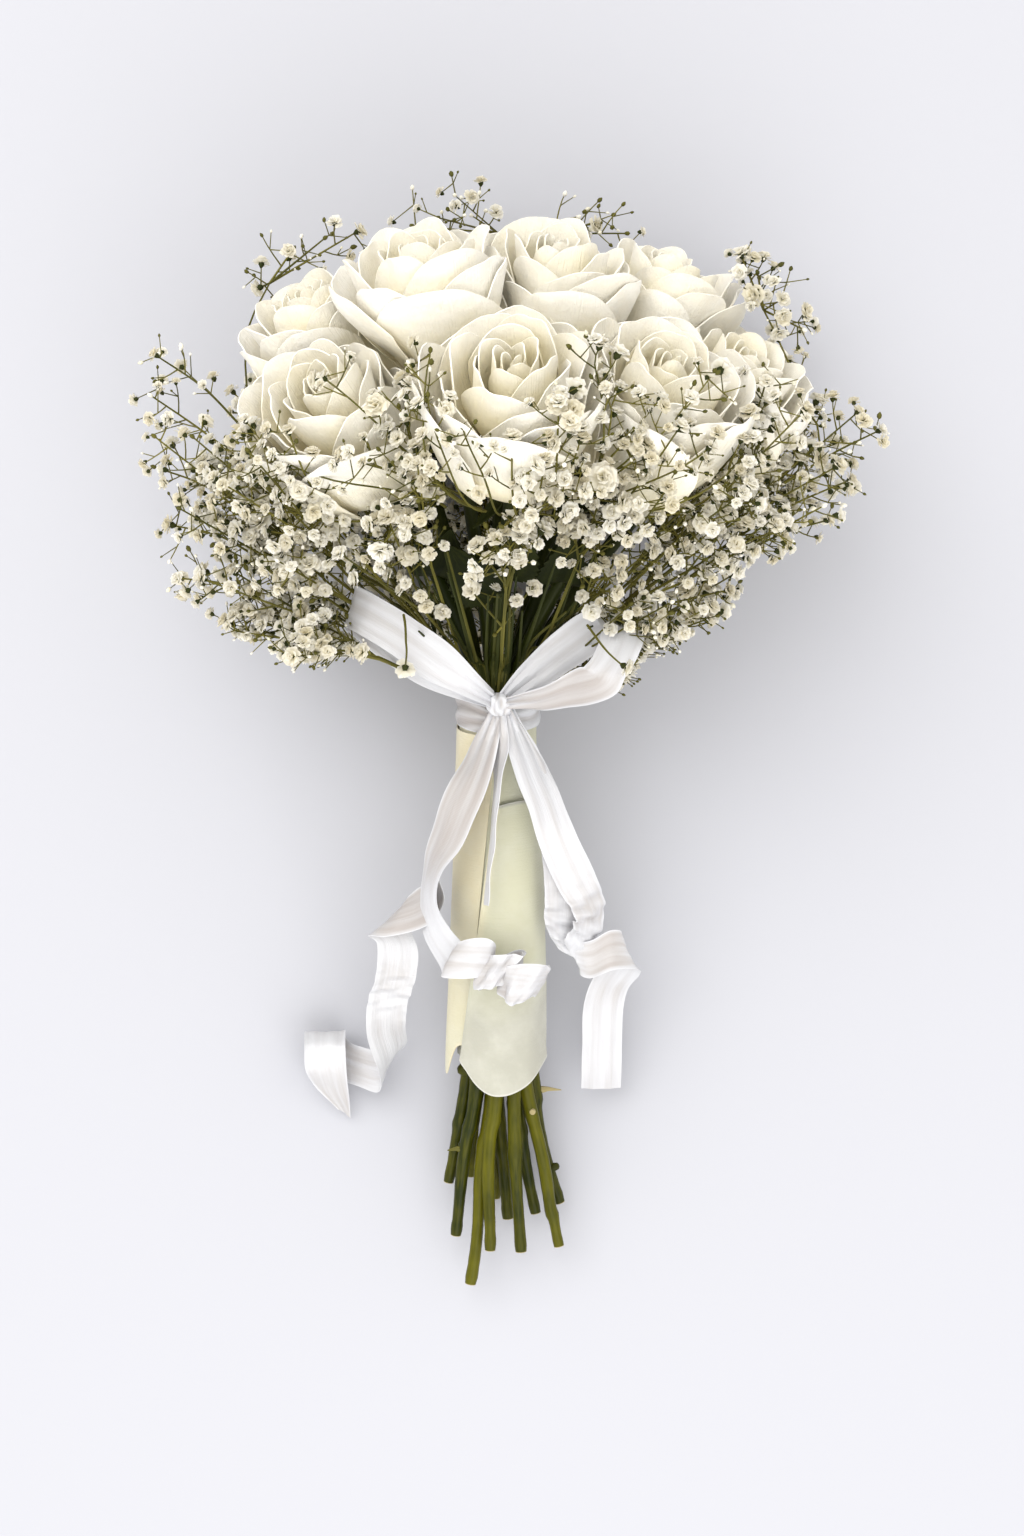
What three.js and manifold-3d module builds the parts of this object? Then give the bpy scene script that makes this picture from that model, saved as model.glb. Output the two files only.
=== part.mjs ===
// A hand-tied bouquet of white roses and baby's breath that lies on its back, in millimetres.
// It rests on z = 0 with its flowers towards +Y, and +X is to the right as seen from above.
// Blooms, stems, sprays and wraps are placed in the bunch's own frame: x across, y along the stems
// from the binding towards the flowers, z towards the front. The ribbon's frame is level.
import * as THREE from "three";
import Module from "manifold-3d";

const wasm = await Module();
wasm.setup();

// Driving sizes
const DEGREE = Math.PI / 180;
const TILT = 15 * DEGREE;
const BINDING_HEIGHT = 63.7;
const BINDING_X = -4.6;
const BINDING_Y = 12.7;
const BLADE = 0.8;
const GAP = 0.3;

// The bundle: rose stems in two rings, spray stems round them, and how it widens downwards
const STEM_RADIUS = 2.75;
const INNER_RING = 3.4;
const OUTER_RING = 9;
const SPRAY_RING = 12.65;
const SPRAY_STEM_RADIUS = 0.6;
const BUNDLE_TOP = 4;
const BUNDLE_FOOT = -128;
const BUNDLE_SPREAD = 1.1;

const point = (x, y, z) => new THREE.Vector3(x, y, z);
const mix = (a, b, t) => a.clone().lerp(b, t);
const clamp = (value, low, high) => Math.min(high, Math.max(low, value));

// A height above the surface, and the way down to it, in the bunch's frame
const DOWN = point(0, -Math.sin(TILT), -Math.cos(TILT));
const height = (p) => BINDING_HEIGHT - p.dot(DOWN);

// The same draws on every run
function draws(seed) {
  let state = seed;
  return () => {
    state = (state + 0x6d2b79f5) | 0;
    let t = Math.imul(state ^ (state >>> 15), 1 | state);
    t = (t + Math.imul(t ^ (t >>> 7), 61 | t)) ^ t;
    return ((t ^ (t >>> 14)) >>> 0) / 4294967296;
  };
}

// A value read off a short table of [place, value] rows
function along(table, place) {
  let row = 1;
  while (row < table.length - 1 && place > table[row][0]) row++;
  const [from, to] = [table[row - 1], table[row]];
  const t = clamp((place - from[0]) / (to[0] - from[0]), 0, 1);
  return from[1] + (to[1] - from[1]) * t;
}

// Closed shapes, each a list of points and of triangles
function solid({ points, faces }) {
  return new wasm.Manifold(
    new wasm.Mesh({
      numProp: 3,
      vertProperties: new Float32Array(points.flatMap((p) => p.toArray())),
      triVerts: new Uint32Array(faces.flat()),
    }),
  );
}

const joined = (solids) => solids.reduce((all, next) => all.add(next));

function perpendicular(direction) {
  const other = Math.abs(direction.z) < 0.8 ? point(0, 0, 1) : point(1, 0, 0);
  return other.addScaledVector(direction, -other.dot(direction)).normalize();
}

// A thin blade on a grid of points, split alike on both faces
function blade(grid, thickness = BLADE) {
  const [rows, columns] = [grid.length, grid[0].length];
  const top = [];
  const bottom = [];
  for (let i = 0; i < rows; i++) {
    for (let j = 0; j < columns; j++) {
      const down = grid[Math.min(i + 1, rows - 1)][j].clone().sub(grid[Math.max(i - 1, 0)][j]);
      const over = grid[i][Math.min(j + 1, columns - 1)].clone().sub(grid[i][Math.max(j - 1, 0)]);
      const normal = down.cross(over).normalize();
      top.push(grid[i][j].clone().addScaledVector(normal, thickness / 2));
      bottom.push(grid[i][j].clone().addScaledVector(normal, -thickness / 2));
    }
  }
  const under = top.length;
  const faces = [];
  for (let i = 0; i < rows - 1; i++) {
    for (let j = 0; j < columns - 1; j++) {
      const a = i * columns + j;
      const [b, c, d] = [a + columns, a + columns + 1, a + 1];
      faces.push([a, b, c], [a, c, d]);
      faces.push([under + a, under + c, under + b], [under + a, under + d, under + c]);
    }
  }
  const rim = [];
  for (let i = 0; i < rows - 1; i++) rim.push(i * columns);
  for (let j = 0; j < columns - 1; j++) rim.push((rows - 1) * columns + j);
  for (let i = rows - 1; i > 0; i--) rim.push(i * columns + columns - 1);
  for (let j = columns - 1; j > 0; j--) rim.push(j);
  rim.forEach((a, k) => {
    const b = rim[(k + 1) % rim.length];
    faces.push([a, under + a, under + b], [a, under + b, b]);
  });
  return { points: [...top, ...bottom], faces };
}

// A shape that grows: later pieces start from faces of earlier ones, so it stays one closed body
const growing = () => ({ points: [], faces: [] });

const sumOf = (points) => points.reduce((sum, p) => sum.add(p), point(0, 0, 0));

function addPoints(shape, points) {
  const first = shape.points.length;
  shape.points.push(...points);
  return points.map((_, k) => first + k);
}

function joinRings(shape, low, high, skipped = -1) {
  low.forEach((a, k) => {
    if (k === skipped) return;
    const next = (k + 1) % low.length;
    shape.faces.push([a, low[next], high[next]], [a, high[next], high[k]]);
  });
}

function closeRing(shape, ring, isStart = false) {
  for (let k = 1; k < ring.length - 1; k++) {
    shape.faces.push(isStart ? [ring[0], ring[k + 1], ring[k]] : [ring[0], ring[k], ring[k + 1]]);
  }
}

// Rings of equally many points, joined in order and capped at both ends
function skinned(rings) {
  const shape = growing();
  const placed = rings.map((ring) => addPoints(shape, ring));
  closeRing(shape, placed[0], true);
  placed.slice(1).forEach((ring, k) => joinRings(shape, placed[k], ring));
  closeRing(shape, placed.at(-1));
  return shape;
}

function ringRound(centre, tangent, side, radius, sides) {
  const up = tangent.clone().cross(side);
  return Array.from({ length: sides }, (_, k) => {
    const turn = (2 * Math.PI * k) / sides;
    return centre
      .clone()
      .addScaledVector(side, radius * Math.cos(turn))
      .addScaledVector(up, radius * Math.sin(turn));
  });
}

// The side that a ring's first point lies on so that the ring is turned least against a given one
function sideAlong(ring, tangent) {
  const side = perpendicular(tangent);
  const up = tangent.clone().cross(side);
  const total = { x: 0, y: 0 };
  ring.forEach((p, k) => {
    const turn = (2 * Math.PI * k) / ring.length;
    total.x += p.dot(side) * Math.cos(turn) + p.dot(up) * Math.sin(turn);
    total.y += p.dot(up) * Math.cos(turn) - p.dot(side) * Math.sin(turn);
  });
  return side.multiplyScalar(total.x).addScaledVector(up, total.y);
}

// A tube along a route of { at, radius, twigs }, from a ring of the shape or from a cap of its own.
// Each twig { way, grow } starts at a short band of the tube, on the side that faces its way.
const NODE_BAND = 0.8;
function growTube(shape, base, route, sides) {
  let last = base;
  let side = null;
  route.forEach(({ at, radius, twigs = [] }, i) => {
    const before = i > 0 ? route[i - 1].at : at.clone().multiplyScalar(2).sub(route[1].at);
    const after = i < route.length - 1 ? route[i + 1].at : at.clone().multiplyScalar(2).sub(before);
    const tangent = after.clone().sub(before).normalize();
    if (!side && last) side = sideAlong(last.map((k) => shape.points[k]), tangent);
    side = (side ?? perpendicular(tangent)).clone();
    side.addScaledVector(tangent, -side.dot(tangent)).normalize();
    const place = (shift) =>
      addPoints(shape, ringRound(at.clone().addScaledVector(tangent, shift), tangent, side, radius, sides));
    let ring = place(twigs.length ? -NODE_BAND * twigs.length : 0);
    if (last) joinRings(shape, last, ring);
    else closeRing(shape, ring, true);
    twigs.forEach((twig, number) => {
      const next = place(NODE_BAND * (2 * (number + 1) - twigs.length));
      const facing = ring.map((_, k) => {
        const out = shape.points[ring[k]].clone().add(shape.points[ring[(k + 1) % sides]]);
        return out.multiplyScalar(0.5).sub(at).dot(twig.way);
      });
      const k = facing.indexOf(Math.max(...facing));
      const [a, b] = [ring[k], ring[(k + 1) % sides]];
      const [c, d] = [next[(k + 1) % sides], next[k]];
      joinRings(shape, ring, next, k);
      shape.faces.push([a, c, d]);
      twig.grow([a, b, c]);
      ring = next;
    });
    last = ring;
  });
  closeRing(shape, last);
}

function tube(path, radii, sides) {
  const shape = growing();
  const route = path.map((at, i) => ({ at, radius: radii[i] }));
  growTube(shape, null, route, sides);
  return shape;
}

function meshOf(name, shape, material) {
  const made = shape.getMesh();
  const geometry = new THREE.BufferGeometry();
  geometry.setAttribute("position", new THREE.BufferAttribute(made.vertProperties, 3));
  geometry.setIndex(new THREE.BufferAttribute(made.triVerts, 1));
  geometry.computeVertexNormals();
  const mesh = new THREE.Mesh(geometry, material);
  mesh.name = name;
  return mesh;
}

const material = (color, roughness) =>
  new THREE.MeshStandardMaterial({ color, roughness, metalness: 0 });
const petalWhite = material(0xf6f0df, 0.6);
const stemGreen = material(0x5a6b22, 0.55);
const sprayCream = material(0xeae5d2, 0.8);
const wrapIvory = material(0xeee8cf, 0.7);
const satinWhite = material(0xeeecef, 0.35);

// Roses: the middle of each bloom, its radius, the way it faces and its stem's place in the bundle
const ROSES = [
  { key: "a", middle: point(-54, 111, 27), radius: 34, faces: point(-0.38, 0.72, 0.58), slot: 140 },
  { key: "b", middle: point(-61, 132, -14), radius: 30, faces: point(-0.45, 0.88, 0.1), slot: 180 },
  { key: "c", middle: point(-24, 148, 10), radius: 35, faces: point(-0.2, 0.96, 0.16), slot: 120 },
  { key: "d", middle: point(5, 121, 58), radius: 34, faces: point(0.0, 0.82, 0.57), slot: 100 },
  { key: "e", middle: point(18, 147, -6), radius: 34, faces: point(0.1, 0.97, 0.2), slot: 240 },
  { key: "f", middle: point(54, 116, 36), radius: 34, faces: point(0.3, 0.85, 0.42), slot: 60 },
  { key: "g", middle: point(56, 137, -32), radius: 33, faces: point(0.25, 0.95, 0.0), slot: 0 },
  { key: "h", middle: point(80, 112, -8), radius: 31, faces: point(0.5, 0.84, 0.2), slot: 20 },
  { key: "i", middle: point(-42, 110, -66), radius: 33, faces: point(-0.35, 0.7, -0.6), slot: 220 },
  { key: "j", middle: point(2, 132, -58), radius: 33, faces: point(0.0, 0.8, -0.6), slot: 260 },
  { key: "k", middle: point(82, 104, -64), radius: 31, faces: point(0.5, 0.72, -0.5), slot: 340 },
  { key: "l", middle: point(34, 102, -66), radius: 33, faces: point(0.2, 0.7, -0.68), slot: 300 },
];
const INNER_SLOTS = [0, 120, 240];
const RESTING = { i: 1.7, k: 2.4 };
const OTHER_CLEARANCE = -1.2;

for (const rose of ROSES) {
  rose.faces.normalize();
  rose.side = point(0, 0, 1).addScaledVector(rose.faces, -rose.faces.z).normalize();
  rose.across = rose.faces.clone().cross(rose.side);
  rose.base = rose.middle.clone().addScaledVector(rose.faces, -rose.radius);
  rose.walls = ROSES.filter((other) => other !== rose).map((other) => {
    const way = other.middle.clone().sub(rose.middle);
    const distance = way.length();
    const room = (distance * rose.radius) / (rose.radius + other.radius) - (BLADE + GAP) / 2;
    return { way: way.divideScalar(distance), room };
  });
  const sink = RESTING[rose.key] ?? OTHER_CLEARANCE;
  rose.walls.push({ way: DOWN, room: height(rose.middle) + sink });
}

// How far a bloom reaches in a direction: a rounded drum, pressed flat by its neighbours
const DRUM_RADIUS = 1.05;
const DRUM_HALF_HEIGHT = 1.02;
const DRUM_POWER = 3;
const PRESS_POWER = 8;
function bloomReach(rose, way) {
  const rise = Math.abs(way.dot(rose.faces));
  const spread = Math.sqrt(Math.max(0, 1 - rise * rise));
  const drum = (spread / DRUM_RADIUS) ** DRUM_POWER + (rise / DRUM_HALF_HEIGHT) ** DRUM_POWER;
  const open = rose.radius / drum ** (1 / DRUM_POWER);
  let total = open ** -PRESS_POWER;
  for (const wall of rose.walls) {
    total += (Math.max(0, way.dot(wall.way)) / wall.room) ** PRESS_POWER;
  }
  return { open, pressed: total ** (-1 / PRESS_POWER) };
}

// A bloom's point at a turn, a radius and a rise, both as shares of the bloom's radius
function bloomPoint(rose, turn, radius, rise) {
  const free = rose.faces
    .clone()
    .multiplyScalar(rise)
    .addScaledVector(rose.side, radius * Math.cos(turn))
    .addScaledVector(rose.across, radius * Math.sin(turn))
    .multiplyScalar(rose.radius);
  const distance = free.length();
  const { open, pressed } = bloomReach(rose, free.clone().divideScalar(distance || 1));
  const share = Math.min(1, distance / open);
  return free.multiplyScalar((share * pressed) / (distance || 1)).add(rose.middle);
}

// Petal layers from the outside in: [radius, rise] from the foot to the rim
const LAYERS = [
  {
    petals: 5, half: 41, start: 0, rows: 3, columns: 3,
    outline: [[0.2, -0.95], [0.7, -0.66], [0.93, -0.08], [0.95, 0.58]],
  },
  {
    petals: 4, half: 49, start: 20, rows: 2, columns: 3,
    outline: [[0.22, -0.7], [0.66, -0.1], [0.71, 0.68]],
  },
  {
    petals: 3, half: 60, start: 50, rows: 2, columns: 2,
    outline: [[0.2, -0.4], [0.45, 0.1], [0.46, 0.8]],
  },
];
const SPIRAL = 0.065;
const RIM_DROP = 0.2;
const RIM_NARROWING = 0.34;
const FOOT_SHARE = 0.82;
const TURN_PLAY = 14;
const LIFT_PLAY = 0.1;

function petalGrid(rose, layer, number, draw) {
  const turn = ((360 * number) / layer.petals + layer.start + TURN_PLAY * (draw() - 0.5)) * DEGREE;
  const lift = LIFT_PLAY * (draw() - 0.5);
  return layer.outline.slice(1).map(([radius, rise], row) => {
    const t = (row + 1) / (layer.outline.length - 1);
    const half = layer.half * DEGREE * (1 - RIM_NARROWING * t ** 3) * (row ? 1 : FOOT_SHARE);
    return Array.from({ length: layer.columns + 1 }, (_, column) => {
      const s = (2 * column) / layer.columns - 1;
      const drop = RIM_DROP * s * s * t * t;
      return bloomPoint(rose, turn + half * s, radius + SPIRAL * s, rise + t * lift - drop);
    });
  });
}

// A petal's two faces, grown from the four corners of a face of the bud
function growPetal(shape, [low, nextLow, nextHigh, high], grid) {
  const { points } = blade(grid);
  const columns = grid[0].length;
  const size = points.length / 2;
  const inner = addPoints(shape, points.slice(0, size));
  const outer = addPoints(shape, points.slice(size));
  const at = (side, row, column) => side[row * columns + column];
  const last = columns - 1;
  for (let row = 0; row < grid.length - 1; row++) {
    for (let j = 0; j < last; j++) {
      const [a, b, c, d] = [[row, j], [row + 1, j], [row + 1, j + 1], [row, j + 1]];
      shape.faces.push([at(inner, ...a), at(inner, ...b), at(inner, ...c)]);
      shape.faces.push([at(inner, ...a), at(inner, ...c), at(inner, ...d)]);
      shape.faces.push([at(outer, ...a), at(outer, ...c), at(outer, ...b)]);
      shape.faces.push([at(outer, ...a), at(outer, ...d), at(outer, ...c)]);
    }
    for (const [j, from, to] of [[0, inner, outer], [last, outer, inner]]) {
      shape.faces.push([at(from, row, j), at(to, row, j), at(to, row + 1, j)]);
      shape.faces.push([at(from, row, j), at(to, row + 1, j), at(from, row + 1, j)]);
    }
  }
  const rim = grid.length - 1;
  for (let j = 0; j < last; j++) {
    shape.faces.push([at(inner, rim, j), at(outer, rim, j), at(outer, rim, j + 1)]);
    shape.faces.push([at(inner, rim, j), at(outer, rim, j + 1), at(inner, rim, j + 1)]);
  }
  const half = Math.floor(last / 2);
  for (let j = 0; j < last; j++) {
    shape.faces.push([j < half ? high : nextHigh, at(inner, 0, j), at(inner, 0, j + 1)]);
    shape.faces.push([j < half ? low : nextLow, at(outer, 0, j + 1), at(outer, 0, j)]);
  }
  shape.faces.push([high, at(inner, 0, half), nextHigh]);
  shape.faces.push([low, nextLow, at(outer, 0, half)]);
  shape.faces.push([high, low, at(outer, 0, 0)]);
  shape.faces.push([high, at(outer, 0, 0), at(inner, 0, 0)]);
  shape.faces.push([nextLow, nextHigh, at(inner, 0, last)]);
  shape.faces.push([nextLow, at(inner, 0, last), at(outer, 0, last)]);
}

// The furled middle of a bloom, whose thin bands carry a layer of petals each
const BUD = [[0.13, -1], [0.2, -0.95], [0.26, -0.8], [0.3, -0.5], [0.33, 0.35], [0.22, 0.85]];
const BUD_SIDES = 5;
const BUD_SPIRAL = 0.15;
const BAND_RISE = 0.035;

function bloom(rose, number) {
  const draw = draws(100 + number);
  const shape = growing();
  const ringAt = (radius, rise) =>
    addPoints(
      shape,
      Array.from({ length: BUD_SIDES }, (_, k) => {
        const turn = ((2 * Math.PI) / BUD_SIDES) * (k + 0.5);
        return bloomPoint(rose, turn, radius * (1 - (BUD_SPIRAL * k) / BUD_SIDES), rise);
      }),
    );
  let last = null;
  BUD.forEach(([radius, rise], band) => {
    const ring = ringAt(radius, rise);
    if (last) joinRings(shape, last, ring);
    else closeRing(shape, ring, true);
    last = ring;
    const layer = LAYERS[band - 1];
    if (!layer) return;
    const next = ringAt(radius + 0.01, rise + BAND_RISE);
    const facing = new Map();
    for (let petal = 0; petal < layer.petals; petal++) {
      const share = ((360 * petal) / layer.petals + layer.start) / (360 / BUD_SIDES);
      facing.set((Math.round(share) + BUD_SIDES - 1) % BUD_SIDES, petal);
    }
    for (let k = 0; k < BUD_SIDES; k++) {
      const n = (k + 1) % BUD_SIDES;
      if (facing.has(k)) {
        const grid = petalGrid(rose, layer, facing.get(k), draw);
        growPetal(shape, [ring[k], ring[n], next[n], next[k]], grid);
      } else {
        shape.faces.push([ring[k], ring[n], next[n]], [ring[k], next[n], next[k]]);
      }
    }
    last = next;
  });
  closeRing(shape, last);
  return shape;
}

// The bunch's frame is tilted, so a box under the surface is turned back into it
function underSurface() {
  const half = 400;
  const deep = 40;
  const corners = [];
  for (const z of [-deep, 0]) {
    for (const [x, y] of [[-half, -half], [half, -half], [half, half], [-half, half]]) {
      corners.push(point(x, y, z - BINDING_HEIGHT).applyAxisAngle(point(1, 0, 0), -TILT));
    }
  }
  return solid(skinned([corners.slice(0, 4), corners.slice(4)]));
}

function roseMesh(rose, number) {
  let whole = solid(bloom(rose, number));
  if (rose.key in RESTING) whole = whole.subtract(underSurface());
  return meshOf("rose_" + rose.key, whole, petalWhite);
}

// Stems: straight in the bundle, curved out to the bloom, splayed below the wrap
const STEM_ENDS = {
  a: point(-16.5, -207, 5), b: point(-19, -188, -1.5), c: point(-10.5, -225, 10),
  d: point(-3.5, -210, 13), e: point(3.7, -203, -2), f: point(8.5, -211, 12),
  g: point(14.2, -200, 0), h: point(23.6, -211, 7), i: point(-9.5, -188, -8),
  j: point(-1.5, -197.5, -9.6), k: point(23.6, -197, -3), l: point(7, -184, -9.2),
};
const STEM_END_RADIUS = 3.4;
const HIP_LENGTH = 8;
const HIP_RADIUS = 4.2;
const RISE_POWER = 1.35;
const SPLAY_POWER = 1.3;
const STEM_PLACES = [0.3, 0.62];

const bundleSpread = (y) => 1 + ((BUNDLE_SPREAD - 1) * Math.max(0, -y)) / -BUNDLE_FOOT;

function slotAt(rose, y) {
  const ring = INNER_SLOTS.includes(rose.slot) ? INNER_RING : OUTER_RING;
  const radius = ring * bundleSpread(y);
  return point(radius * Math.cos(rose.slot * DEGREE), y, radius * Math.sin(rose.slot * DEGREE));
}

const stemTop = (rose) => rose.base.clone().addScaledVector(rose.faces, -HIP_LENGTH - GAP);

// The middle of a stem at a height above the bundle
function stemAbove(rose, y) {
  const top = stemTop(rose);
  const share = ((y - BUNDLE_TOP) / (top.y - BUNDLE_TOP)) ** RISE_POWER;
  const slot = slotAt(rose, y);
  return point(slot.x + (top.x - slot.x) * share, y, slot.z + (top.z - slot.z) * share);
}

function stemBelow(rose, y) {
  const end = STEM_ENDS[rose.key];
  const share = ((BUNDLE_FOOT - y) / (BUNDLE_FOOT - end.y)) ** SPLAY_POWER;
  const slot = slotAt(rose, BUNDLE_FOOT);
  return point(slot.x + (end.x - slot.x) * share, y, slot.z + (end.z - slot.z) * share);
}

function stemPath(rose) {
  const top = stemTop(rose);
  const end = STEM_ENDS[rose.key];
  const path = [end, stemBelow(rose, (end.y + BUNDLE_FOOT) / 2)];
  path.push(slotAt(rose, BUNDLE_FOOT), slotAt(rose, BUNDLE_TOP));
  for (const share of STEM_PLACES) {
    path.push(stemAbove(rose, BUNDLE_TOP + (top.y - BUNDLE_TOP) * share));
  }
  path.push(top);
  return path;
}
const STEM_SIDES = 6;
const STEM_SWELL = [STEM_END_RADIUS, 3.2, 3, STEM_RADIUS, 2.6, 2.5, 2.6];

// The hip under the petals, which ends the stem, and the sepals laid back from it
const HIP = [[2.5, 3.6], [5, 4.9], [HIP_LENGTH, 3.6]];
const SEPALS = 3;
const SEPAL_TURN = 0.5;
const SEPAL_SIDES = 3;
const SEPAL_ROUTE = [[7.5, 4.2, 1.3], [10.5, -2, 0.4]];
function sepals(rose, shape) {
  return Array.from({ length: SEPALS }, (_, k) => {
    const turn = (360 / SEPALS) * k * DEGREE + SEPAL_TURN;
    const way = rose.side
      .clone()
      .multiplyScalar(Math.cos(turn))
      .addScaledVector(rose.across, Math.sin(turn));
    const place = (radius, rise) =>
      stemTop(rose).addScaledVector(way, radius).addScaledVector(rose.faces, rise);
    const route = SEPAL_ROUTE.map(([out, rise, radius]) => ({ at: place(out, rise), radius }));
    return { way, grow: (base) => growTube(shape, base, route, SEPAL_SIDES) };
  });
}

const THORN = { length: 4.5, rise: 0.6, radii: [1.5, 0.35], sides: 3, buried: 0.6 };
function thorn(path, share, turn) {
  const at = Math.min(path.length - 2, Math.floor(share * (path.length - 1)));
  const local = share * (path.length - 1) - at;
  const centre = mix(path[at], path[at + 1], local);
  const tangent = path[at + 1].clone().sub(path[at]).normalize();
  const side = perpendicular(tangent);
  const out = side
    .clone()
    .multiplyScalar(Math.cos(turn))
    .addScaledVector(tangent.clone().cross(side), Math.sin(turn));
  const root = centre.clone().addScaledVector(out, STEM_RADIUS * THORN.buried);
  const reach = STEM_RADIUS + THORN.length;
  const tip = centre.clone().addScaledVector(out, reach).addScaledVector(tangent, THORN.rise);
  return tube([root, tip], THORN.radii, THORN.sides);
}

// A stub of a side shoot cut off near the stem's lower end
const STUB = { share: 0.62, out: 6, rise: 9, radii: [1.8, 1.9], sides: 5 };
function stub(path, turn) {
  const centre = mix(path[0], path[1], STUB.share);
  const out = point(Math.cos(turn), 0, Math.sin(turn));
  const tip = centre.clone().addScaledVector(out, STUB.out).add(point(0, STUB.rise, 0));
  return tube([centre, tip], STUB.radii, STUB.sides);
}

// A rose leaf with a toothed edge, arched along its rib
const LEAF_TEETH = 3;
const LEAF_WIDTH = 0.34;
const LEAF_FOOT = 0.06;
const LEAF_POWER = 0.8;
const LEAF_TOOTH = [0.88, 1.08];
const LEAF_LEAST = 0.5;
const LEAF_ARCH = 0.16;
const LEAF_DROOP = 0.12;
const LEAF_FOLD = 0.25;
function leaf(root, way, face, length) {
  const rib = way.clone().normalize();
  const up = face.clone().addScaledVector(rib, -face.dot(rib)).normalize();
  const over = rib.clone().cross(up);
  const half = length * LEAF_WIDTH;
  const steps = LEAF_TEETH * 2;
  const grid = [];
  for (let i = 0; i <= steps; i++) {
    const t = i / steps;
    const place = Math.min(1, LEAF_FOOT + t * (1 - LEAF_FOOT));
    const share = Math.sin(Math.PI * place) ** LEAF_POWER;
    const width = Math.max(LEAF_LEAST, half * share * LEAF_TOOTH[i % 2]);
    const centre = root
      .clone()
      .addScaledVector(rib, length * t)
      .addScaledVector(up, length * (LEAF_ARCH * Math.sin(Math.PI * t) - LEAF_DROOP * t));
    const edge = (sign) =>
      centre.clone().addScaledVector(over, sign * width).addScaledVector(up, width * LEAF_FOLD);
    grid.push([edge(1), centre, edge(-1)]);
  }
  return blade(grid);
}

// Leaves: where along the upper stem each one grows, its way and its length
const LEAVES = {
  d: [
    { share: 0.5, way: point(-0.75, 0.8, 0.55), length: 30 },
    { share: 0.6, way: point(0.35, 0.8, 0.7), length: 28 },
  ],
  a: [{ share: 0.6, way: point(0.2, 0.7, 0.85), length: 30 }],
  f: [{ share: 0.6, way: point(0.1, 0.7, 0.9), length: 30 }],
};
const THORNS = { d: [0.55, 1.2], h: [0.23, 5.9], f: [0.28, 1.0], a: [0.12, 3.2], c: [0.2, 2.0] };
const STUBS = { b: 2.6, k: 0.3, a: 3.4 };

function stemMesh(rose) {
  const path = stemPath(rose);
  const shape = growing();
  const stalk = path.map((at, i) => ({ at, radius: STEM_SWELL[i] }));
  const hip = HIP.map(([rise, radius]) => ({
    at: stemTop(rose).addScaledVector(rose.faces, rise),
    radius,
  }));
  hip[1].twigs = sepals(rose, shape);
  growTube(shape, null, [...stalk, ...hip], STEM_SIDES);
  const parts = [shape];
  if (rose.key in THORNS) parts.push(thorn(path, ...THORNS[rose.key]));
  if (rose.key in STUBS) parts.push(stub(path, STUBS[rose.key]));
  for (const { share, way, length } of LEAVES[rose.key] ?? []) {
    const root = stemAbove(rose, BUNDLE_TOP + (path.at(-1).y - BUNDLE_TOP) * share);
    parts.push(leaf(root, way, point(0, -0.5, 1), length));
  }
  return meshOf("stem_" + rose.key, joined(parts.map(solid)), stemGreen);
}

// Baby's breath: how far the collar reaches at each angle from the bunch's axis, in degrees
const REACH_RIGHT = [[34, 178], [44, 182], [54, 174], [60, 141], [64, 100], [70, 74], [80, 54]];
const REACH_LEFT = [[34, 166], [44, 168], [50, 168], [56, 152], [62, 139], [69, 123], [78, 88], [84, 66]];
const REACH_FRONT = [[30, 158], [38, 142], [46, 120], [54, 102], [62, 80], [70, 64]];
const REACH_BACK = [[30, 110], [40, 104], [50, 104], [60, 92], [70, 74], [80, 60]];

const SIDE_POWER = 1.5;
function collarReach(azimuth, polar) {
  const across = Math.cos(azimuth);
  const side = Math.abs(across) ** SIDE_POWER;
  const sideReach = along(across > 0 ? REACH_RIGHT : REACH_LEFT, polar / DEGREE);
  const otherReach = along(Math.sin(azimuth) > 0 ? REACH_FRONT : REACH_BACK, polar / DEGREE);
  return side * sideReach + (1 - side) * otherReach;
}

const polarPoint = (azimuth, polar, distance) =>
  point(
    distance * Math.sin(polar) * Math.cos(azimuth),
    distance * Math.cos(polar),
    distance * Math.sin(polar) * Math.sin(azimuth),
  );

// Each spray keeps inside a wedge of the collar, above or below the plane between the two tiers
const WEDGES = 12;
const FRONT_WEDGES = [2, 3, 4];
const FRONT_RANGE = [34, 66];
const FRONT_TIPS = 12;
const UPPER_RANGE = [35, 57];
const OTHER_RANGES = { 0: [46, 57], 6: [45, 57], 11: [50, 57] };
const UPPER_TIPS = 10;
const LOWER_RANGE = [60, 80];
const LOWER_TIPS = 7;
const TIER_ANGLE = 58 * DEGREE;
const BEAD_RADIUS = 5.6;
const TWIG_RADIUS = 0.5;
const LOWEST_BEAD = 7;
function cellWalls(azimuth, tier) {
  const half = Math.PI / WEDGES;
  const flat = (turn) => point(Math.cos(turn), 0, Math.sin(turn));
  const walls = [flat(azimuth - half + Math.PI / 2), flat(azimuth + half - Math.PI / 2)];
  const out = flat(azimuth);
  const split = out.multiplyScalar(-Math.cos(TIER_ANGLE)).setY(Math.sin(TIER_ANGLE));
  if (tier === "upper") walls.push(split);
  if (tier === "lower") walls.push(split.negate());
  return walls;
}

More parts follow.
